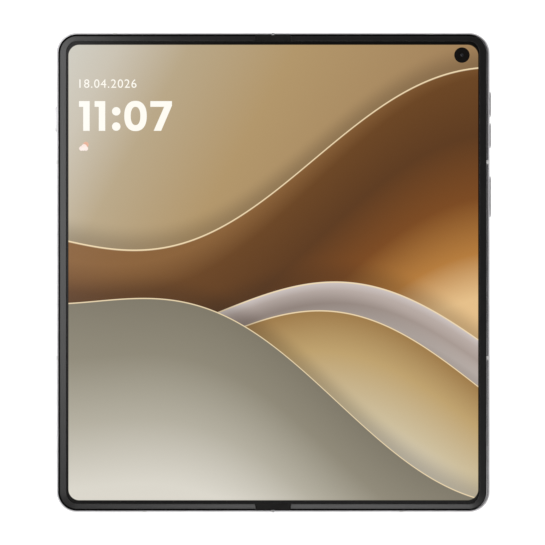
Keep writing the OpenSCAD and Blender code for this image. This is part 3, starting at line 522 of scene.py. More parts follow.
# %% [markdown]
# ## Sky and dunes
#
# The sky is one ramp along a diagonal. Four dunes then lie over it, from the
# back to the front, each mixed over the last as paper is laid on paper, so that
# a shadow falls only on what is behind its dune. The screen's own colour is
# nearly black, and all its colour comes from the light of the pixels.

# %% Sky and dunes
SKY_TILT, SKY_START, SKY_END = -0.55, -110.0, 60.0  # the ramp runs over x + tilt * y, in mm
SKY = [
    (0.0, "#CDCABF"), (0.1, "#C9C1B1"), (0.24, "#B8A686"),
    (0.45, "#B2966A"), (0.8, "#A3825A"), (1.0, "#8E7050"),
]
DUNES = [  # crest (level, slope, swell, length, phase), shades, depth, width of the rim light, lean
    (
        (34, 0.3, 15, 175, -0.5),
        [(0.0, "#8A6137"), (0.12, "#6B4522"), (0.35, "#5E3B1E"),
         (0.6, "#7C4A20"), (0.82, "#B57C3C"), (1.0, "#E6C08A")], 84, 0.7, 0.1,
    ),
    (
        (-16, -0.16, 17, 190, 0.6),
        [(0.0, "#CFC6C4"), (0.25, "#B9ACA6"), (0.6, "#A99B94"), (1.0, "#C9BEB8")], 12, 0.6, 0.0,
    ),
    (
        (-27, -0.18, 18, 186, 0.75),
        [(0.0, "#9E7A48"), (0.3, "#BFA26E"), (0.7, "#CDBE9C"), (1.0, "#D3CEC0")], 46, 0.55, 0.0,
    ),
    (
        (-34, -0.42, 13, 160, 2.3),
        [(0.0, "#7E7868"), (0.3, "#8E8877"), (0.65, "#B3AE9F"), (1.0, "#DAD6CB")], 62, 0.5, 0.0,
    ),
]
# Thin glass under a plastic film: black where no pixel is lit, with soft reflections.
screen_finish, tree, shader = new_finish(
    "lit_display_glass",
    {"Base Color": "#050505", "Roughness": 0.22, "IOR": 1.45, "Emission Strength": 1.0},
)
x, y = picture_mm(tree)
diagonal = node(tree, "Math", y, SKY_TILT, x, operation="MULTIPLY_ADD")
picture = node(tree, "ValToRGB", node(tree, "MapRange", diagonal, SKY_START, SKY_END), stops=SKY)
for crest, stops, depth, rim_width, lean in DUNES:
    picture = lay_dune(tree, picture, x, y, crest, stops, depth, rim_width, lean)
print("picture of", len(DUNES), "dunes")

# %% [markdown]
# ## Lit area
#
# Round the picture a thin border of the display stays unlit. A black frame laid
# on the screen would have to bend with it, so the border is part of the picture
# instead. It is the outside of a rounded rectangle, worked out from the
# distance to its edge.

# %% Lit area
LIT_W, LIT_H, LIT_R = 68.31, 75.93, 3.6  # half width, half height and corner radius
LIT_SHIFT = 0.11  # how far the lit area lies to the right of the fold
LIT_BLUR = 0.05
UNLIT = "#080706"


def outside_rounded(tree, x, y, half_w, half_h, radius):
    """Distance outside a rounded rectangle, in mm, and below nought inside it."""
    past = []
    for value, half in ((x, half_w), (y, half_h)):
        size = node(tree, "Math", value, operation="ABSOLUTE")
        past.append(node(tree, "Math", size, half - radius, operation="SUBTRACT"))
    corner = [node(tree, "Math", p, 0.0, operation="MAXIMUM") for p in past]
    squares = [node(tree, "Math", c, 2.0, operation="POWER") for c in corner]
    reach = node(tree, "Math", node(tree, "Math", *squares, operation="ADD"), operation="SQRT")
    inner = node(tree, "Math", node(tree, "Math", *past, operation="MAXIMUM"), 0.0, operation="MINIMUM")
    both = node(tree, "Math", reach, inner, operation="ADD")
    return node(tree, "Math", both, radius, operation="SUBTRACT")


from_middle = node(tree, "Math", x, LIT_SHIFT, operation="SUBTRACT")
edge = outside_rounded(tree, from_middle, y, LIT_W, LIT_H, LIT_R)
border = node(tree, "MapRange", edge, -LIT_BLUR, LIT_BLUR, **SMOOTH)
lit = node(tree, "Mix", border, picture, UNLIT, data_type="RGBA")
tree.links.new(lit, shader.inputs["Emission Color"])
print("lit area:", 2 * LIT_W, "x", 2 * LIT_H, "mm")

# %% [markdown]
# ## Flat outlines
#
# Many pieces are a flat outline with rounded corners that is drawn out to its
# thickness. Face extrusion and bevel do this in three short moves:
# make the face, round its corners, and draw it out. No point of a round has to
# be worked out by hand, and its radius stays one number.

# %% Flat outlines
def only(kind, parts):
    """The corners, edges or faces among what an operator returns."""
    return [part for part in parts if isinstance(part, kind)]


def outline_face(bm, points):
    """Makes one flat face from its corner points and returns the corners."""
    corners = [bm.verts.new(point) for point in points]
    bm.faces.new(corners)
    return corners


def drawn_out(bm, by):
    """Extrudes every face by a vector and returns the faces at the far end."""
    made = bmesh.ops.extrude_face_region(bm, geom=bm.faces[:], use_keep_orig=True)["geom"]
    bmesh.ops.translate(bm, verts=only(bmesh.types.BMVert, made), vec=by)
    return only(bmesh.types.BMFace, made)


def rounded(bm, parts, affect, radius, segments):
    """Gives corners ("VERTICES") or edges ("EDGES") a round of a radius."""
    bmesh.ops.bevel(
        bm, geom=parts, offset=radius, offset_type="OFFSET", segments=segments, profile=0.5,
        affect=affect, material=-1,
    )


print("outline helpers ready")

# %% [markdown]
# ## Folding display
#
# The display is one sheet, 0.75 mm thick, that bends in a loose drop inside the
# shut phone. Cuts across it, from the fold to 1 mm past 4 mm outwards, would let
# it bend smoothly, but no bend is set up here. It is made as two pieces, because
# a blend goes between two bodies only, and the pieces meet on the line of the
# fold.

# %% Folding display
BEND_END = 4.0
BEND_CUTS = 24
CUTS_PAST = 1.0  # the cuts go on this far past the end of the bend


def picture_map(bm):
    """Writes each corner's place in the picture to the UV map."""
    layer = bm.loops.layers.uv.new("picture")
    for face in bm.faces:
        for loop in face.loops:
            at = loop.vert.co
            loop[layer].uv = (at.x / PICTURE + UV_MIDDLE, at.y / PICTURE + UV_MIDDLE)


def bend_cuts(bm, end, cuts):
    """Cuts a piece across the fold into narrow strips that can bend."""
    for i in range(1, cuts):
        everything = bm.verts[:] + bm.edges[:] + bm.faces[:]
        cut_at = (end * i / cuts, 0, 0)
        bmesh.ops.bisect_plane(bm, geom=everything, plane_co=cut_at, plane_no=(1, 0, 0))


def bends_with(piece):
    """Bakes a bending piece's placement into its mesh; no bend is set up here."""
    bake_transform(piece)


far_x, far_y = HALF_W - PANEL_INSET, HALF_H - PANEL_INSET
for half, side in SIDES.items():
    bm = bmesh.new()
    places = [(0, -far_y), (far_x, -far_y), (far_x, far_y), (0, far_y)]
    corners = outline_face(bm, [(x, y, Z_SCREEN) for x, y in places])
    rounded(bm, corners[1:3], "VERTICES", CORNER_R - PANEL_INSET, segments=12)
    bend_cuts(bm, BEND_END + CUTS_PAST, BEND_CUTS)
    drawn_out(bm, (0, 0, Z_PANEL - Z_SCREEN))
    mirror_to(bm, side)
    picture_map(bm)
    stands_for = ["display_" + half] + (["display_fold"] if side > 0 else [])
    screen = finish_piece(bm, half + "_screen", screen_finish, replaces=stands_for)
    bends_with(screen)

# %% [markdown]
# ## Hinge caps
#
# Where the bezels stop, two soft black caps close the ends of the fold. Each is
# a thin strip with rounded upper edges that bends with the display, and it is
# cut at the fold, as the screen is. A box is enough to start from, because a
# strip so thin shows nothing but its top and the round of its edges.

# %% Hinge caps
CAP_INNER, CAP_OUTER = 76.95, 79.18  # along Y
CAP_LOW, CAP_HIGH = 6.36, 6.68
CAP_REACH = FOLD_HALF - 0.06  # ends just short of the bezel
CAP_ROUND = 0.14


def add_box(bm, size, middle):
    """Adds a box of a size round its middle."""
    corners = bmesh.ops.create_cube(bm, size=1.0)["verts"]
    bmesh.ops.scale(bm, vec=size, verts=corners)
    bmesh.ops.translate(bm, vec=middle, verts=corners)


def runs_across_top(edge):
    """Whether an edge of a cap lies on its top and runs across the fold."""
    first, last = (corner.co for corner in edge.verts)
    return abs(first.x - last.x) > CAP_REACH / 2 and first.z > (CAP_LOW + CAP_HIGH) / 2


for half, side in SIDES.items():
    bm = bmesh.new()
    size = (CAP_REACH, CAP_OUTER - CAP_INNER, CAP_HIGH - CAP_LOW)
    for end in (1, -1):
        middle_y = end * (CAP_INNER + CAP_OUTER) / 2
        add_box(bm, size, (CAP_REACH / 2, middle_y, (CAP_LOW + CAP_HIGH) / 2))
    top_edges = [edge for edge in bm.edges if runs_across_top(edge)]
    rounded(bm, top_edges, "EDGES", CAP_ROUND, segments=3)
    bend_cuts(bm, CAP_REACH, BEND_CUTS)
    mirror_to(bm, side)
    caps = finish_piece(
        bm, half + "_hinge_caps", finishes["hinge_cap_rubber"],
        replaces=["hinge_caps"] if side > 0 else (),
    )
    bends_with(caps)

# %% [markdown]
# ## Flex cables of the fold
#
# Two thin cables cross from half to half. They dip into the hollow spine at the
# fold and rise over the edge of each frame to the boards. A thin box could be
# bent to that path, but its side view is only a few corners: they make one
# face, and drawing it out gives the width. The cables bend as the display does,
# round the hinge, so each is cut at the fold as well.

# %% Flex cables
FLEX_THICK, FLEX_WIDE = 0.12, 10.0
FLEX_STARTS = (24.0, 40.0)  # along Y
FLEX_BEND_END = 5.0
FLEX_PATH = [  # (x, z) under the cable, from the fold to the board
    (0, 3.6), (1.4, 3.6), (2.1, 3.85), (2.75, 4.23), (3.25, 4.47), (3.8, 4.57),
    (5.6, 4.57), (6.9, 4.42), (8.2, 4.28), (15.9, 4.28),
]
flex_line = FLEX_PATH + [(x, z + FLEX_THICK) for x, z in reversed(FLEX_PATH)]
for half, side in SIDES.items():
    bm = bmesh.new()
    for start_y in FLEX_STARTS:
        outline_face(bm, [(x, start_y, z) for x, z in flex_line])
    drawn_out(bm, (0, FLEX_WIDE, 0))
    bend_cuts(bm, FLEX_BEND_END, BEND_CUTS)
    mirror_to(bm, side)
    flex = finish_piece(
        bm, half + "_flex_cables", finishes["polyimide_film"],
        replaces=["fold_flex"] if side > 0 else (),
    )
    bends_with(flex)

# %% [markdown]
# ## Glow of the figures
#
# The lock screen shows a big clock, a date in figures above it and a small
# cloud below. They could be drawn by nodes too, but as thin shapes on the flat
# part of the left screen they are easy to change and have sharp edges. They
# glow as the screen does, slowly changing between two close shades.

# %% Glow of the figures
# Lit pixels under glass: an even glow, which no lamp changes.
PIXELS = {  # name: shades of the glow, and the size in mm of its slow change
    "lit_clock_pixels": ("#FFFBF0", "#FFFDF6", 30.0),
    "lit_cloud_pixels": ("#FBE6DE", "#FFF1EA", 2.0),
    "lit_sun_pixels": ("#E6B096", "#EFC4AC", 2.0),
}
for name, (low, high, size) in PIXELS.items():
    finishes[name], tree, shader = new_finish(
        name, {"Base Color": "#050505", "Roughness": 0.12, "Emission Strength": 1.0}
    )
    lumps = {"Vector": object_mm(tree), "Scale": 1 / size, "Detail": GRAIN_DETAIL}
    glow = node(tree, "TexNoise", named=lumps)
    shade = node(tree, "ValToRGB", glow, stops=[(NOISE_LOW, low), (NOISE_HIGH, high)])
    tree.links.new(shade, shader.inputs["Emission Color"])
print(len(PIXELS), "glowing finishes")

# %% [markdown]
# ## Shapes of the figures
#
# The clock's figures are drawn here rather than set in a font, so that they get
# the even heavy strokes of the photograph. Straight figures are a few corners,
# and the nought is a squarish oval with a hole.

# %% Shapes of the figures
def oval(half_w, half_h, roundness=2.3, points=40):
    """Corners of an oval a little squarer than an ellipse, as the figure nought is."""
    turns = [2 * math.pi * i / points for i in range(points)]
    return [
        (half_w * math.copysign(abs(math.cos(t)) ** (2 / roundness), math.cos(t)),
         half_h * math.copysign(abs(math.sin(t)) ** (2 / roundness), math.sin(t)))
        for t in turns
    ]


def moved(outline, x, y):
    """The same outline in another place."""
    return [(px + x, py + y) for px, py in outline]


# Outlines and holes of each figure in mm, drawn from its left foot
TALL, BAR = 9.9, 1.9
ONE = [[(1.4, 0), (3.55, 0), (3.55, TALL), (0, TALL), (0, TALL - BAR), (1.4, TALL - BAR)]]
NOUGHT_W, NOUGHT_HOLE_W = 3.75, 1.6  # half widths
OVERSHOOT = 0.1  # a round figure goes this far past the others, to look as tall
NOUGHT_OVALS = (oval(NOUGHT_W, TALL / 2 + OVERSHOOT), oval(NOUGHT_HOLE_W, TALL / 2 - BAR))
NOUGHT = [moved(shape, NOUGHT_W, TALL / 2) for shape in NOUGHT_OVALS]
SEVEN = [[
    (1.1, 0), (3.6, 0), (7.2, TALL - 1.5), (7.2, TALL), (0, TALL), (0, TALL - BAR), (4.6, TALL - BAR),
]]
DOT_R, DOT_HEIGHTS = 1.42, (1.42, 6.5)
DOTS = [moved(oval(DOT_R, DOT_R, roundness=2, points=24), DOT_R, height) for height in DOT_HEIGHTS]
print("figures:", TALL, "mm tall")

# %% [markdown]
# ## Turned pieces
#
# Whatever is round is drawn as half of its profile and turned a full circle
# round an upright axis, as on a lathe. Where the profile starts or ends on the
# axis, the turned points fall together, and merging them closes the piece.

# %% Turned pieces
def turned(bm, profile, centre, steps=48):
    """Turns a profile of (radius, height) points a full circle round an upright axis."""
    x, y, z = centre
    points = [bm.verts.new((x + r, y, z + h)) for r, h in profile]
    edges = [bm.edges.new(pair) for pair in zip(points, points[1:])]
    bmesh.ops.spin(
        bm, geom=points + edges, cent=centre, axis=(0, 0, 1), dvec=(0, 0, 0),
        angle=2 * math.pi, steps=steps, use_merge=True, use_duplicate=False,
    )
    bmesh.ops.remove_doubles(bm, verts=bm.verts, dist=MERGE)


def disc(radius, thickness):
    """Profile of a flat disc."""
    return [(0, 0), (radius, 0), (radius, thickness), (0, thickness)]


print("lathe ready")

# %% [markdown]
# ## Clock
#
# The big figures are laid in a row as outlines. Filling all of them at once
# leaves the hole of the nought open, which a face for each outline would close,
# and drawing them out gives them a thickness of two hundredths of a millimetre.

# %% Clock
SHEET = 0.02  # thickness of everything that lies on the screen
CLOCK_Y = 47.25
CLOCK = ((-64.7, ONE), (-59.5, ONE), (-53.7, DOTS), (-49.6, NOUGHT), (-40.9, SEVEN))
bm = bmesh.new()
for foot, figure in CLOCK:
    for outline in figure:
        points = [bm.verts.new((x, y, Z_SCREEN)) for x, y in moved(outline, foot, CLOCK_Y)]
        for pair in zip(points, points[1:] + points[:1]):
            bm.edges.new(pair)
bmesh.ops.triangle_fill(bm, edges=bm.edges[:], use_beauty=True, use_dissolve=False)
drawn_out(bm, (0, 0, SHEET))
finish_piece(bm, "clock_figures", finishes["lit_clock_pixels"], "left_half")

# %% [markdown]
# ## Date
#
# The date is a line of small light figures. At that size the built-in font is
# close enough, so it is set as text and not drawn. Text has live settings and
# no faces, so it is made a mesh before it is moved to its place.

# %% Date
DATE_X, DATE_Y, DATE_SIZE, DATE_SPACING = -65.4, 61.6, 4.1, 1.1


def made_mesh(made):
    """A bmesh of an object's shape, with its modifiers or its text worked out."""
    bpy.context.view_layer.update()
    worked_out = made.evaluated_get(bpy.context.evaluated_depsgraph_get())
    bm = bmesh.new()
    bm.from_mesh(bpy.data.meshes.new_from_object(worked_out))
    return bm


date_curve = bpy.data.curves.new("date_figures", "FONT")
date_curve.body = "18.04.2026"
date_curve.size = DATE_SIZE
date_curve.space_character = DATE_SPACING
date_curve.extrude = SHEET / 2
date_curve.resolution_u = 4
date_text = bpy.data.objects.new("date_text", date_curve)
scene.collection.objects.link(date_text)
bm = made_mesh(date_text)
bpy.data.objects.remove(date_text)
bmesh.ops.translate(bm, vec=(DATE_X, DATE_Y, Z_SCREEN + SHEET / 2), verts=bm.verts)
finish_piece(bm, "date_figures", finishes["lit_clock_pixels"], "left_half")

# %% [markdown]
# ## Cloud and sun
#
# The weather sign is three millimetres wide, so its cloud needs no outline of
# its own: four overlapping discs make its bumps. The sun is one warmer disc
# behind it, and half as thick, so that the cloud covers it.

# %% Cloud and sun
CLOUD = (((-63.9, 41.35), 0.75), ((-63.0, 41.85), 0.95), ((-62.4, 41.35), 0.75), ((-63.2, 41.2), 0.6))
SUN_X, SUN_Y, SUN_R = -62.4, 42.65, 0.95
DISC_STEPS = 24
bm = bmesh.new()
for at, radius in CLOUD:
    turned(bm, disc(radius, SHEET), (*at, Z_SCREEN), DISC_STEPS)
finish_piece(bm, "cloud_pixels", finishes["lit_cloud_pixels"], "left_half")
bm = bmesh.new()
turned(bm, disc(SUN_R, SHEET / 2), (SUN_X, SUN_Y, Z_SCREEN), DISC_STEPS)
finish_piece(bm, "sun_pixels", finishes["lit_sun_pixels"], "left_half")

# %% [markdown]
# ## Display camera
#
# The camera in the display looks out through a round hole. The eye sees black
# printed glass there, with a fine ring and a small coated lens that catches the
# lamps. They lie on the screen here, and not under it, because the picture of
# the screen hides what is under it. The lens is a piece cut off a sphere, so
# its profile is a short arc, and a whole sphere would be mostly hidden.

# %% Display camera
EYE = (63.0, 72.5, Z_SCREEN)
EYE_WINDOW = [  # (radius, height): the middle, a low ring round it and the wide border
    (0, 0.012), (1.1, 0.012), (1.15, 0.02), (1.3, 0.02), (1.35, 0.012),
    (2.54, 0.012), (2.58, 0.0), (0, 0.0),
]
LENS_CURVE, LENS_TURN = 0.85, 0.6  # radius of the lens's sphere, and the part of it in radians
LENS_BASE = 0.01


def dome(radius, rise, base, steps, turn=math.pi / 2):
    """Profile of a domed lens, from its top to its rim and back to its middle."""
    turns = [turn * i / steps for i in range(steps + 1)]
    arc = [(radius * math.sin(t), base + rise * (math.cos(t) - math.cos(turn))) for t in turns]
    return arc + [(0, base)]


# Glass with a coating against reflections: nearly black, with a cool tint.
coated_lens, tree, shader = new_finish(
    "coated_lens_glass", {"Roughness": 0.05, "Coat Weight": 0.2, "Coat Roughness": 0.02, "IOR": 1.4}
)
tint(tree, shader, object_mm(tree), size=2.5, shades=("#08090C", "#12131C", "#0D1A1C"))
bm = bmesh.new()
turned(bm, EYE_WINDOW, EYE)
finish_piece(bm, "display_camera_window", finishes["camera_window_glass"], "right_half")
bm = bmesh.new()
turned(bm, dome(LENS_CURVE, LENS_CURVE, LENS_BASE, steps=8, turn=LENS_TURN), EYE)
finish_piece(bm, "display_camera_lens", coated_lens, "right_half")

# %% [markdown]
# ## Keys
#
# The keys are machined pills of the same blasted metal. Each one starts as a
# rectangle with fully rounded ends, is drawn out of the side, and gets a small
# radius round its face. A rounded cube that is stretched to the length of a key
# would be quicker, but its radius would stretch too.

# %% Keys
KEY_H, KEY_Z = 1.5, 4.25  # height of a key, and its middle above the floor
KEY_ROOT, KEY_PROUD = 1.2, 0.5  # how far it goes into the side and stands out of it
KEY_END_R = KEY_H / 2 - 0.01  # nearly half its height, so that its ends are fully round
KEY_EDGE_R = 0.22
SQUARE = ((-1, -1), (1, -1), (1, 1), (-1, 1))  # signs of the corners, in order
KEYS = {  # name: (side, middle along Y, length, body, CAD part)
    "volume_up_pill": (1, 56.1, 8.3, "volume_up", "volume_up_key"),
    "volume_down_pill": (1, 45.7, 8.3, "volume_down", "volume_down_key"),
    "power_pill": (1, 25.3, 13.6, "power", "power_key"),
    "assist_pill": (-1, 51.2, 8.3, "assist", "assist_key"),
}
for name, (side, middle, length, body, stands_for) in KEYS.items():
    bm = bmesh.new()
    places = [(middle + sy * length / 2, KEY_Z + sz * KEY_H / 2) for sy, sz in SQUARE]
    corners = outline_face(bm, [(HALF_W - KEY_ROOT, y, z) for y, z in places])
    rounded(bm, corners, "VERTICES", KEY_END_R, segments=8)
    face = drawn_out(bm, (KEY_ROOT + KEY_PROUD, 0, 0))[0]
    rounded(bm, face.edges[:], "EDGES", KEY_EDGE_R, segments=4)
    mirror_to(bm, side)
    finish_piece(bm, name, finishes["bead_blasted_aluminium"], body, [stands_for])

# %% [markdown]
# ## Camera island
#
# Three cameras and a flash stand on the right half's back, on a square island
# with wide round corners. The island is glass in the colour of the cover, with
# a softened edge. Its face could be drawn with the openings in it, but a
# Boolean cuts four clean round holes right through the finished plate.

# %% Camera island
ISLAND_X, ISLAND_Y = 49.75, 57.5
ISLAND_HALF, ISLAND_R, ISLAND_EDGE_R = 17.0, 9.0, 0.45  # half its width, and its rounds
ISLAND_LOW = 0.5  # the lens rings stand out of it, down to the floor
LENSES = {"main": (-8, 8), "wide": (-8, -8), "zoom": (8, 0)}  # from the island's middle
FLASH = (9, 11)
LENS_HOLE_R, FLASH_HOLE_R = 5.25, 1.75
CUT_LOW, CUT_HIGH = -1, 4  # the cutters reach past both faces
FINE, COARSE = 96, 64  # steps round the rings and round what lies inside them


def on_island(at, z=0.0):
    """A place on the island, from its middle."""
    return (ISLAND_X + at[0], ISLAND_Y + at[1], z)


def loose_object(bm, name):
    """A plain object for the Boolean, with its faces outwards."""
    bmesh.ops.recalc_face_normals(bm, faces=bm.faces)
    mesh = bpy.data.meshes.new(name)
    bm.to_mesh(mesh)
    bm.free()
    made = bpy.data.objects.new(name, mesh)
    scene.collection.objects.link(made)
    return made


bm = bmesh.new()
places = [(sx * ISLAND_HALF, sy * ISLAND_HALF) for sx, sy in SQUARE]
corners = outline_face(bm, [on_island(at, Z_BACK) for at in places])
rounded(bm, corners, "VERTICES", ISLAND_R, segments=20)
face = drawn_out(bm, (0, 0, ISLAND_LOW - Z_BACK))[0]
rounded(bm, face.edges[:], "EDGES", ISLAND_EDGE_R, segments=6)
plate = loose_object(bm, "plate")
bm = bmesh.new()
for at, radius in [(at, LENS_HOLE_R) for at in LENSES.values()] + [(FLASH, FLASH_HOLE_R)]:
    turned(
        bm, [(0, CUT_LOW), (radius, CUT_LOW), (radius, CUT_HIGH), (0, CUT_HIGH)],
        on_island(at), COARSE,
    )
cutter = loose_object(bm, "cutter")
cut = plate.modifiers.new("openings", "BOOLEAN")
cut.operation = "DIFFERENCE"
cut.object = cutter
cut.solver = "EXACT"
bm = made_mesh(plate)
for scrap in (plate, cutter):
    bpy.data.objects.remove(scrap)
finish_piece(
    bm, "island_plate", finishes["island_glass"], "right_half", ["camera_island"]
)

# %% [markdown]
# ## Lens rings
#
# Each lens opening gets a polished metal ring that stands out of the island and
# keeps its glass off the table. A torus would be too plump: the real ring has a
# flat face between two small radii, and a turned section gives just that.

# %% Lens rings
LENS_RING = [  # (radius, height) round the section
    (5.2, 0.75), (5.2, 0.16), (5.26, 0.06), (5.36, 0.0), (5.98, 0.0),
    (6.14, 0.04), (6.26, 0.14), (6.3, 0.3), (6.3, 0.75), (5.2, 0.75),
]
bm = bmesh.new()
for at in LENSES.values():
    turned(bm, LENS_RING, on_island(at), FINE)
finish_piece(bm, "lens_rings", finishes["polished_aluminium"], "right_half")

# %% [markdown]
# ## Cameras
#
# Behind its ring, each camera shows a black printed glass border, a stepped and
# blackened barrel that swallows stray light, and a domed front element with a
# coloured coating. The three have different openings. Stacked cylinders could
# make the steps, but one profile turned on the lens's axis has them all and
# leaves no hidden faces. A square housing lies behind each barrel.

# %% Cameras
LENS_BORDER = [  # (radius, height) round the section
    (5.15, 0.62), (5.15, 0.17), (5.1, 0.12), (3.3, 0.12), (3.2, 0.17), (3.2, 0.62), (5.15, 0.62),
]
CAMERA_BOX = (10.5, 10.5, 2.3)
CAMERA_BOX_Z, CAMERA_BOX_R = 4.0, 0.3
BARREL_ROOT = [(0, 2.85), (4.2, 2.85), (4.2, 0.8), (4.12, 0.72)]  # its back and its outside
BARRELS = {  # steps of (radius, depth) down to the front element, then its radius and rise
    "main": ([(3.15, 0.72), (3.1, 0.95), (2.8, 0.95), (2.75, 1.2), (2.5, 1.2), (2.45, 1.5)], 2.4, 0.4),
    "wide": ([(3.15, 0.72), (3.1, 0.85), (2.9, 0.85), (2.9, 1.0), (2.75, 1.0), (2.75, 1.2)], 2.7, 0.62),
    "zoom": ([(3.15, 0.72), (3.0, 1.1), (2.5, 1.1), (2.4, 1.6), (2.0, 1.6), (1.9, 2.0)], 1.85, 0.3),
}

bm = bmesh.new()
for at in LENSES.values():
    turned(bm, LENS_BORDER, on_island(at), FINE)
finish_piece(
    bm, "lens_borders", finishes["outer_display_glass"], "right_half", ["lens_glasses"]
)

for name, (steps, radius, rise) in BARRELS.items():
    at = LENSES[name]
    floor_z = steps[-1][1]
    bm = bmesh.new()
    add_box(bm, CAMERA_BOX, on_island(at, CAMERA_BOX_Z))
    rounded(bm, bm.edges[:], "EDGES", CAMERA_BOX_R, segments=2)
    turned(bm, BARREL_ROOT + steps + [(0, floor_z)], on_island(at), COARSE)
    finish_piece(
        bm, name + "_camera_barrel", finishes["anodised_lens_barrel"],
        "right_half", [name + "_camera"],
    )
    bm = bmesh.new()
    turned(bm, dome(radius, -rise, floor_z, steps=10), on_island(at), COARSE)
    finish_piece(bm, name + "_camera_element", coated_lens, "right_half")

# %% [markdown]
# ## Flash
#
# The flash is a small cream plastic lens. Fine rings in its face, like those of
# a lighthouse lens, spread its light. A bump in the material could fake them,
# but real grooves look right from every side. The profile has one groove and one
# crest for each ring, and is turned like the others.

# %% Flash
FLASH_RINGS, RING_PITCH = 6, 0.22
FIRST_GROOVE, FIRST_CREST = 0.12, 0.3  # their radii
FLASH_FACE, FLASH_GROOVE, FLASH_BACK = 0.5, 0.56, 1.1  # heights; the face looks down
FLASH_RIM = [(1.55, FLASH_FACE), (1.68, 0.58), (1.7, FLASH_BACK)]  # (radius, height)
# Clear resin with a cream phosphor behind it: milky, with small highlights.
flash_finish, tree, shader = new_finish(
    "moulded_flash_lens", {"Transmission Weight": 0.35, "IOR": 1.49, "Roughness": 0.12}
)
tint(tree, shader, object_mm(tree), size=1.0, shades=("#F1E9C9", "#FAF5E2"))
flash_profile = [(0, FLASH_FACE)]
for i in range(FLASH_RINGS):
    out = i * RING_PITCH
    flash_profile += [(FIRST_GROOVE + out, FLASH_GROOVE), (FIRST_CREST + out, FLASH_FACE)]
flash_profile += FLASH_RIM + [(0, FLASH_BACK)]
bm = bmesh.new()
turned(bm, flash_profile, on_island(FLASH))
finish_piece(bm, "flash_rings", flash_finish, "right_half", ["flash_lens"])

# %% [markdown]
# ## Outer camera and socket contacts
#
# The glass of the outer display has a small camera near its top. The charging
# socket's tongue carries a row of gold contacts on each face, 0.5 mm apart.
# The camera is turned, like the one in the display. A contact is a small flat
# box, sunk a hundredth of a millimetre into the tongue, and a loop lays them.

# %% Outer camera and socket contacts
OUTER_EYE = (-36.0, 72.5, Z_BACK)
OUTER_WINDOW = [(0, -0.012), (0.95, -0.012), (1.0, -0.02), (1.55, -0.02), (1.6, 0.0), (0, 0.0)]
OUTER_LENS_R, OUTER_LENS_RISE, OUTER_LENS_BASE = 0.9, -0.05, -0.012  # it faces down
bm = bmesh.new()
turned(bm, OUTER_WINDOW, OUTER_EYE)
finish_piece(bm, "outer_camera_window", finishes["black_camera_plastic"], "left_half")
bm = bmesh.new()
turned(bm, dome(OUTER_LENS_R, OUTER_LENS_RISE, OUTER_LENS_BASE, steps=8), OUTER_EYE, steps=32)
finish_piece(bm, "outer_camera_lens", coated_lens, "left_half")

CONTACTS, CONTACT_PITCH = 12, 0.5
CONTACT_SIZE = (0.28, 3.2, 0.04)
SOCKET_X, CONTACT_Y, SOCKET_Z = 36.0, -75.3, 4.2
TONGUE_HALF = 0.35  # half the tongue's thickness
CONTACT_LIFT = 0.01  # the middle of a contact lies this far above the tongue's face
bm = bmesh.new()
for up in (1, -1):
    for i in range(CONTACTS):
        along = SOCKET_X + (i - (CONTACTS - 1) / 2) * CONTACT_PITCH
        height = SOCKET_Z + up * (TONGUE_HALF + CONTACT_LIFT)
        add_box(bm, CONTACT_SIZE, (along, CONTACT_Y, height))
finish_piece(bm, "socket_contacts", finishes["gold_contact"], "right_half")

# %% [markdown]
# ## Speaker cloth
#
# A fine black cloth behind the speaker holes keeps dust out. Threads of their
# own would take thousands of faces behind a few small holes, so the cloth is a
# thin box with a weave in its finish: two sets of waves across each other,
# where one wave is one thread.

# %% Speaker cloth
THREAD_PITCH = 0.2  # mm from thread to thread; the real 0.1 would be too fine to show
WAVE_REPEAT = math.pi / 10  # a wave texture with a scale of one repeats after this length
THREAD_RISE = 0.03  # mm that a thread stands up
CLOTH_SIZE, CLOTH_MIDDLE = (9.6, 0.08, 1.6), (17.9, -78.62, 4.25)
CLOTH_EDGE_R = 0.02
# Woven polyester: dull, with threads that show as a fine grid.
cloth, tree, shader = new_finish("woven_speaker_cloth", {"Roughness": 0.85})
feeds = {"Vector": object_mm(tree), "Scale": WAVE_REPEAT / THREAD_PITCH}
threads = [node(tree, "TexWave", named=feeds, bands_direction=way) for way in ("X", "Z")]
weave = node(tree, "Math", *threads, operation="MULTIPLY")
shade = node(tree, "ValToRGB", weave, stops=[(0.2, "#050505"), (0.8, "#1E1E20")])
tree.links.new(shade, shader.inputs["Base Color"])
bump = node(tree, "Bump", named={"Height": weave, "Distance": THREAD_RISE * MM})
tree.links.new(bump, shader.inputs["Normal"])
bm = bmesh.new()
add_box(bm, CLOTH_SIZE, CLOTH_MIDDLE)
rounded(bm, bm.edges[:], "EDGES", CLOTH_EDGE_R, segments=1)
finish_piece(bm, "speaker_cloth", cloth, "right_half")

# %% [markdown]
# ## Floor
#
# The phone lies on a plain painted floor. The floor has to look white to the
# camera without more light on the phone, so it glows for camera rays and for
# rays through glass. Reflections show a fifth of that glow: with all of it the
# pale rails would vanish against the floor, and with none they would look dark.

# %% Floor
FLOOR_HALF = 4.0  # half the width of the floor, in metres
FLOOR_GLOW = "#D4D4D4"
GLOW_IN_REFLECTIONS = 0.2


def seen_share(tree, in_reflections):
    """One for camera and glass rays, a share for reflections, nought for light on things."""
    path = tree.nodes.new("ShaderNodeLightPath").outputs
    clear = node(
        tree, "Math", path["Is Camera Ray"], path["Is Transmission Ray"], operation="MAXIMUM"
    )
    mirrored = node(tree, "Math", path["Is Glossy Ray"], in_reflections, operation="MULTIPLY")
    return node(tree, "Math", clear, mirrored, operation="MAXIMUM")


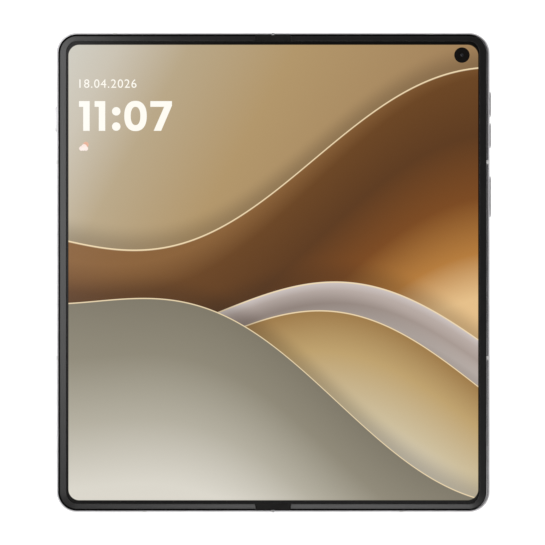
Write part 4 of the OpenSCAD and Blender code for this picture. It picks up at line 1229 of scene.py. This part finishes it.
# Matt emulsion paint: it takes the phone's soft shadow and shows no gloss.
floor_finish, tree, shader = new_finish(
    "painted_floor", {"Base Color": "#E8E8E8", "Roughness": 0.8, "Emission Strength": 1.0}
)
seen = seen_share(tree, GLOW_IN_REFLECTIONS)
glow = node(tree, "Mix", seen, "#000000", FLOOR_GLOW, data_type="RGBA")
tree.links.new(glow, shader.inputs["Emission Color"])
bm = bmesh.new()
bmesh.ops.create_grid(bm, x_segments=1, y_segments=1, size=FLOOR_HALF)
mesh = bpy.data.meshes.new("floor")
bm.to_mesh(mesh)
bm.free()
mesh.materials.append(floor_finish)
floor = bpy.data.objects.new("floor", mesh)
scene.collection.objects.link(floor)
print("floor laid")

# %% [markdown]
# ## World
#
# The world is white to the camera and even grey as fill light. Reflections show
# a studio: white walls that dim towards the right and a dark ceiling. The black
# display and bezels stay dark from above, as in the photograph, and the metal
# rim picks up the walls. Built walls would work as well, but two map ranges
# paint the whole room here.

# %% World
WALL_TILT = 0.1  # the walls dim along +X, and a little along +Y
DIM_START, DIM_END = 0.1, 0.9  # sideways part of the direction, between which they dim
CEILING_START, CEILING_END = 0.62, 0.9  # upward part, between which the walls become the ceiling
LEFT_WALL, RIGHT_WALL, CEILING = 1.0, 0.5, 0.03  # how bright each one is
FILL_LIGHT, BACKDROP = "#A6A6A6", "#FFFFFF"
world = bpy.data.worlds.new("studio")
scene.world = world
world.use_nodes = True
tree = world.node_tree
background = tree.nodes["Background"]
direction = tree.nodes.new("ShaderNodeTexCoord").outputs["Generated"]
way = node(tree, "SeparateXYZ", direction).node.outputs
across = node(tree, "Math", way["Y"], WALL_TILT, way["X"], operation="MULTIPLY_ADD")
walls = node(tree, "MapRange", across, DIM_START, DIM_END, LEFT_WALL, RIGHT_WALL)
overhead = node(tree, "MapRange", way["Z"], CEILING_START, CEILING_END, 1.0, CEILING, **SMOOTH)
grey = node(tree, "Math", walls, overhead, operation="MULTIPLY")
room = node(tree, "CombineColor", grey, grey, grey)
mirrored = tree.nodes.new("ShaderNodeLightPath").outputs["Is Glossy Ray"]
light = node(tree, "Mix", mirrored, FILL_LIGHT, room, data_type="RGBA")
seen = seen_share(tree, 0.0)
sky = node(tree, "Mix", seen, light, BACKDROP, data_type="RGBA")
tree.links.new(sky, background.inputs["Color"])
print("world painted")

# %% [markdown]
# ## Lamps
#
# A big soft lamp stands at the left and a fainter one fills in from the right,
# both at a plain level, so that a colour shows about as it is written. Hidden
# from reflections, they leave no square on the glass. Three small strips, which
# reflections do show, draw the light along the left and lower bezels.

# %% Lamps
LAMPS = {  # name: (place in metres, size in metres, watts, whether reflections show it)
    "big_soft_lamp": ((-1.0, 0.1, 0.9), 1.3, 13.0, False),
    "far_fill_lamp": ((1.0, 0.9, 0.8), 1.0, 8.0, False),
    "left_strip": ((-0.2, 0.03, 0.45), 0.2, 0.31, True),
    "lower_strip": ((0.035, -0.225, 0.45), 0.18, 0.24, True),
    "corner_spot": ((-0.09, 0.115, 0.12), 0.06, 0.02, True),
}
for name, (place, size, watts, reflected) in LAMPS.items():
    lamp_data = bpy.data.lights.new(name, "AREA")
    lamp_data.size = size
    lamp_data.energy = watts
    lamp = bpy.data.objects.new(name, lamp_data)
    lamp.location = place
    to_phone = -Vector(place)
    lamp.rotation_euler = to_phone.to_track_quat("-Z", "Y").to_euler()
    lamp.visible_camera = False
    lamp.visible_glossy = reflected
    scene.collection.objects.link(lamp)
scene.view_settings.view_transform = "Standard"
print(len(LAMPS), "lamps")
